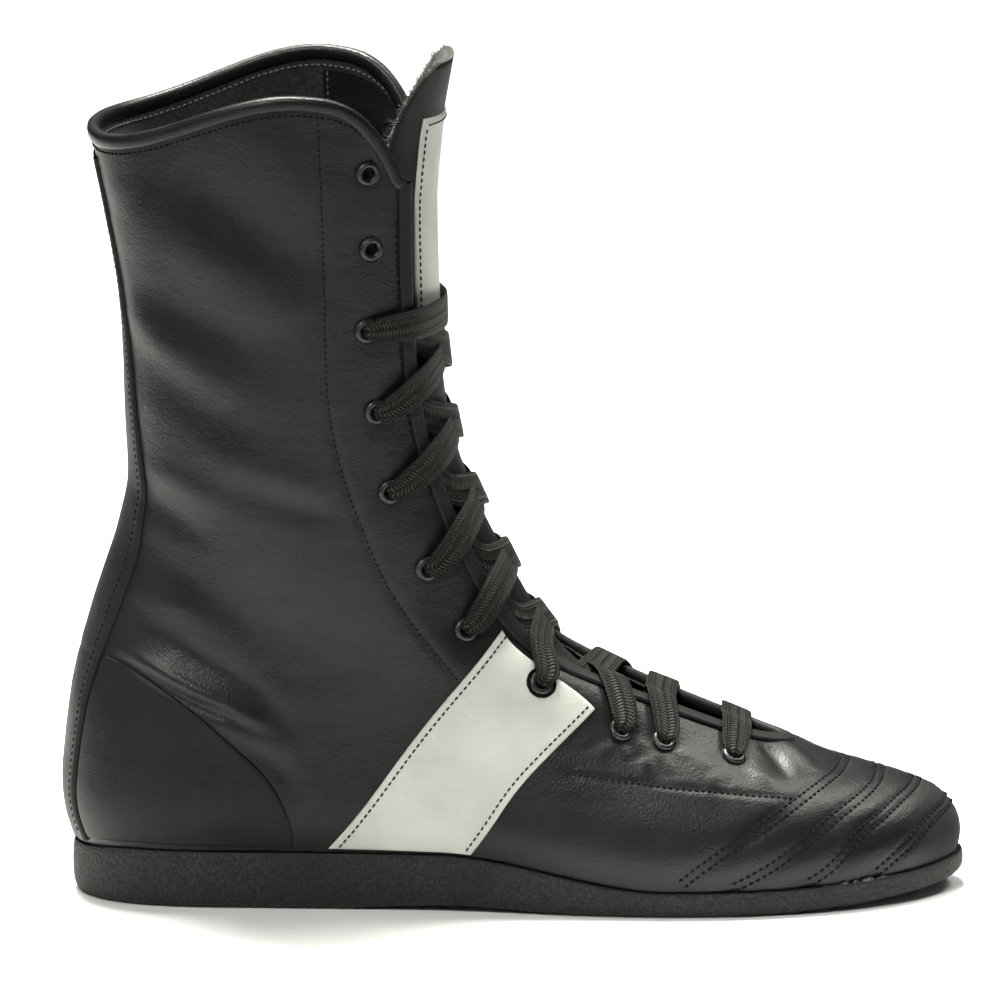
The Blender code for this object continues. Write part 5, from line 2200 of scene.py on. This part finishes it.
    def strip_row(self, side: int) -> Array:
        """Row down one edge of the back strip.

        Args:
            side: -1 or 1.

        Returns:
            The stitches.
        """
        level = np.linspace(*self.strip_levels, 260)
        turn = self.last.turn_at_width(side, level, self.strip_half, False)
        return self.row(*self.on_hide(side, turn, level, self.strip_lift), Sewing.EDGE)

    def inner_rows(self, side: int) -> list[Array]:
        """Row down the rear edge of an inner facing and the row beside its throat edge.

        Args:
            side: -1 or 1.

        Returns:
            Stitches of each row.
        """
        spots = smooth_line(FACING_LINE[:4], 120)
        spots[:, 0] += self.inner_inset - (MEDIAL_SHIFT if side == MEDIAL else 0.0)
        level = np.linspace(*self.inner_levels, 160)
        turn = self.last.throat_turn(side, level) - self.inner_turn
        return [self.inside(side, *self.last.locate(spots)), self.inside(side, turn, level)]

    def collar_row(self, drop: float, lift: float) -> Array:
        """Row under the collar binding.

        Args:
            drop: Distance under the edge.
            lift: Height over the leather, negative inside.

        Returns:
            The stitches.
        """
        side, share = round_the_back(np.linspace(*self.collar_shares, 200))
        top = np.full(len(share), self.last.top)
        turn = self.last.column_turn(side, share, top)
        step = 0.1
        below = self.last.point(side, turn, top - step)
        speed = np.linalg.norm(self.last.point(side, turn, top) - below, axis=1) / step
        level = top - drop / speed
        points, normals = self.on_hide(side, self.last.column_turn(side, share, level), level, lift)
        return self.row(points, normals if lift > 0.0 else -normals, Sewing.COLLAR)

    def patch_rows(self) -> list[Array]:
        """Rows along the edges of the tongue patch.

        Returns:
            Stitches of each row.
        """
        low, high = np.array(self.tongue.patch_levels) + (self.patch_end, -self.patch_end)
        half = self.tongue.patch_half - self.patch_inset
        level, across = np.linspace(low, high, 80), np.linspace(-half, half, 60)
        lines = [(np.full(80, offset), level) for offset in (-half, half)]
        lines += [(across, np.full(60, place)) for place in (low, high)]
        rows = []
        for line in lines:
            points = self.tongue.at(*line, self.tongue.patch_lift + self.patch_lift)
            rows.append(self.row(points, unit(points - self.tongue.at(*line, -1.0)), Sewing.EDGE))
        return rows

    def build(self) -> None:
        """Sew every row."""
        dark = self.toe_rows() + self.patch_rows() + [self.collar_row(*self.collar_outside)]
        for side in SIDES:
            dark += [self.seam_row(side, seam) for seam in self.seams]
            dark += [self.throat_row(side), self.strip_row(side)]
        self.joined("dark_stitches", dark, DARK_THREAD)
        pale = [self.collar_row(*self.collar_inside)] + self.inner_rows(LATERAL) + self.inner_rows(MEDIAL)
        self.joined("pale_stitches", pale, PALE_THREAD)


class Softbox(NamedTuple):
    """An area light: place and size in metres, watts, beam in degrees and the point that it faces."""

    name: str
    place: Triple
    size: Span
    power: float
    beam: float
    aim: Triple


@dataclass
class Studio:
    """Pale floor, soft lights and the camera."""

    aim: Triple = (-0.0041, 0.0, 0.1283)
    elevation: float = 12.0
    distance: float = 8.0
    lens: float = 890.0
    sensor: float = 36.0
    floor_size: float = 60.0
    floor_tone: float = 0.9
    sky: float = 0.07
    warmth: Colour = (1.0, 0.99, 0.93)
    lights: tuple[Softbox, ...] = (
        Softbox("top_light", (-0.15, 0.4, 1.5), (0.6, 0.5), 8.0, 50.0, (-0.1, 0.15, 0.0)),
        Softbox("vamp_light", (0.8, 0.5, 1.4), (0.7, 0.9), 1.1, 30.0, (0.0, 0.0, 0.05)),
        Softbox("back_light", (-0.3, 1.4, 1.8), (0.9, 0.8), 12.0, 65.0, (-0.1, 1.0, 0.0)),
        Softbox("left_light", (-2.2, -1.0, 0.9), (1.0, 1.4), 0.75, 60.0, (0.0, 0.0, 0.1)),
        Softbox("front_light", (-0.75, -2.05, 2.2), (1.5, 0.4), 2.0, 20.0, (0.0, 0.0, 0.1)),
        Softbox("bounce_light", (0.05, -0.75, 1.2), (1.4, 0.35), 3.9, 40.0, (0.05, -0.75, 0.0)),
    )

    @staticmethod
    def placed(name: str, data: bpy.types.ID, place: Vector, aim: Triple) -> bpy.types.Object:
        """Put a light or a camera in its place, facing a point.

        Args:
            name: Its name.
            data: The light or camera.
            place: Where it stands.
            aim: Point that it faces.

        Returns:
            The object.
        """
        made = bpy.data.objects.new(name, data)
        made.location = place
        made.rotation_euler = (Vector(aim) - place).to_track_quat("-Z", "Y").to_euler()
        bpy.context.scene.collection.objects.link(made)
        return made

    def camera(self) -> None:
        """Long lens at the lateral side, looking slightly down."""
        data = bpy.data.cameras.new("camera")
        data.lens = self.lens
        data.sensor_width = self.sensor
        data.clip_end = 100.0
        angle = math.radians(self.elevation)
        back = Vector((0.0, -math.cos(angle), math.sin(angle)))
        place = Vector(self.aim) + back * self.distance
        bpy.context.scene.camera = self.placed("camera", data, place, self.aim)

    def floor(self) -> None:
        """Large white floor under the shoe."""
        half = self.floor_size / 2.0
        mesh = bpy.data.meshes.new("floor")
        corners = [(-half, -half, 0), (half, -half, 0), (half, half, 0), (-half, half, 0)]
        mesh.from_pydata(corners, [], [(0, 1, 2, 3)])
        made = bpy.data.objects.new("floor", mesh)
        bpy.context.scene.collection.objects.link(made)
        mix = Recipe("floor_paper")
        mix.settle(Roughness=0.9, Specular_IOR_Level=0.1)
        mix.shader.inputs["Base Color"].default_value = (*(self.floor_tone,) * 3, 1.0)
        mesh.materials.append(mix.material)

    def softbox(self, box: Softbox) -> None:
        """Hang up a slightly warm area light.

        Args:
            box: The light.
        """
        data = bpy.data.lights.new(box.name, "AREA")
        data.shape = "RECTANGLE"
        data.size, data.size_y = box.size
        data.energy = box.power
        data.color = self.warmth
        data.spread = math.radians(box.beam)
        self.placed(box.name, data, Vector(box.place), box.aim).visible_camera = False

    def build(self) -> None:
        """Set up the picture."""
        world = bpy.data.worlds.new("studio")
        world.use_nodes = True
        sky = world.node_tree.nodes["Background"].inputs
        sky["Color"].default_value = (1.0, 1.0, 1.0, 1.0)
        sky["Strength"].default_value = self.sky
        bpy.context.scene.world = world
        bpy.context.scene.view_settings.view_transform = "Standard"
        self.floor()
        for box in self.lights:
            self.softbox(box)
        self.camera()


def main() -> None:
    """Build the shoe piece by piece and set up the picture."""
    logging.basicConfig(level=logging.INFO, format="%(name)s %(message)s")
    shop = Workshop()
    hide = Hide()
    tongue = Tongue(hide, shop)
    for part in (Sole(hide, shop), Shell(hide, shop), Panels(hide, shop), Bindings(hide, shop), tongue,
                 Eyelets(hide, shop), Lace(hide, shop, tongue), Stitching(hide, shop, tongue), Studio()):
        part.build()
        log.info("built %s", type(part).__name__)


if __name__ == "__main__":
    main()
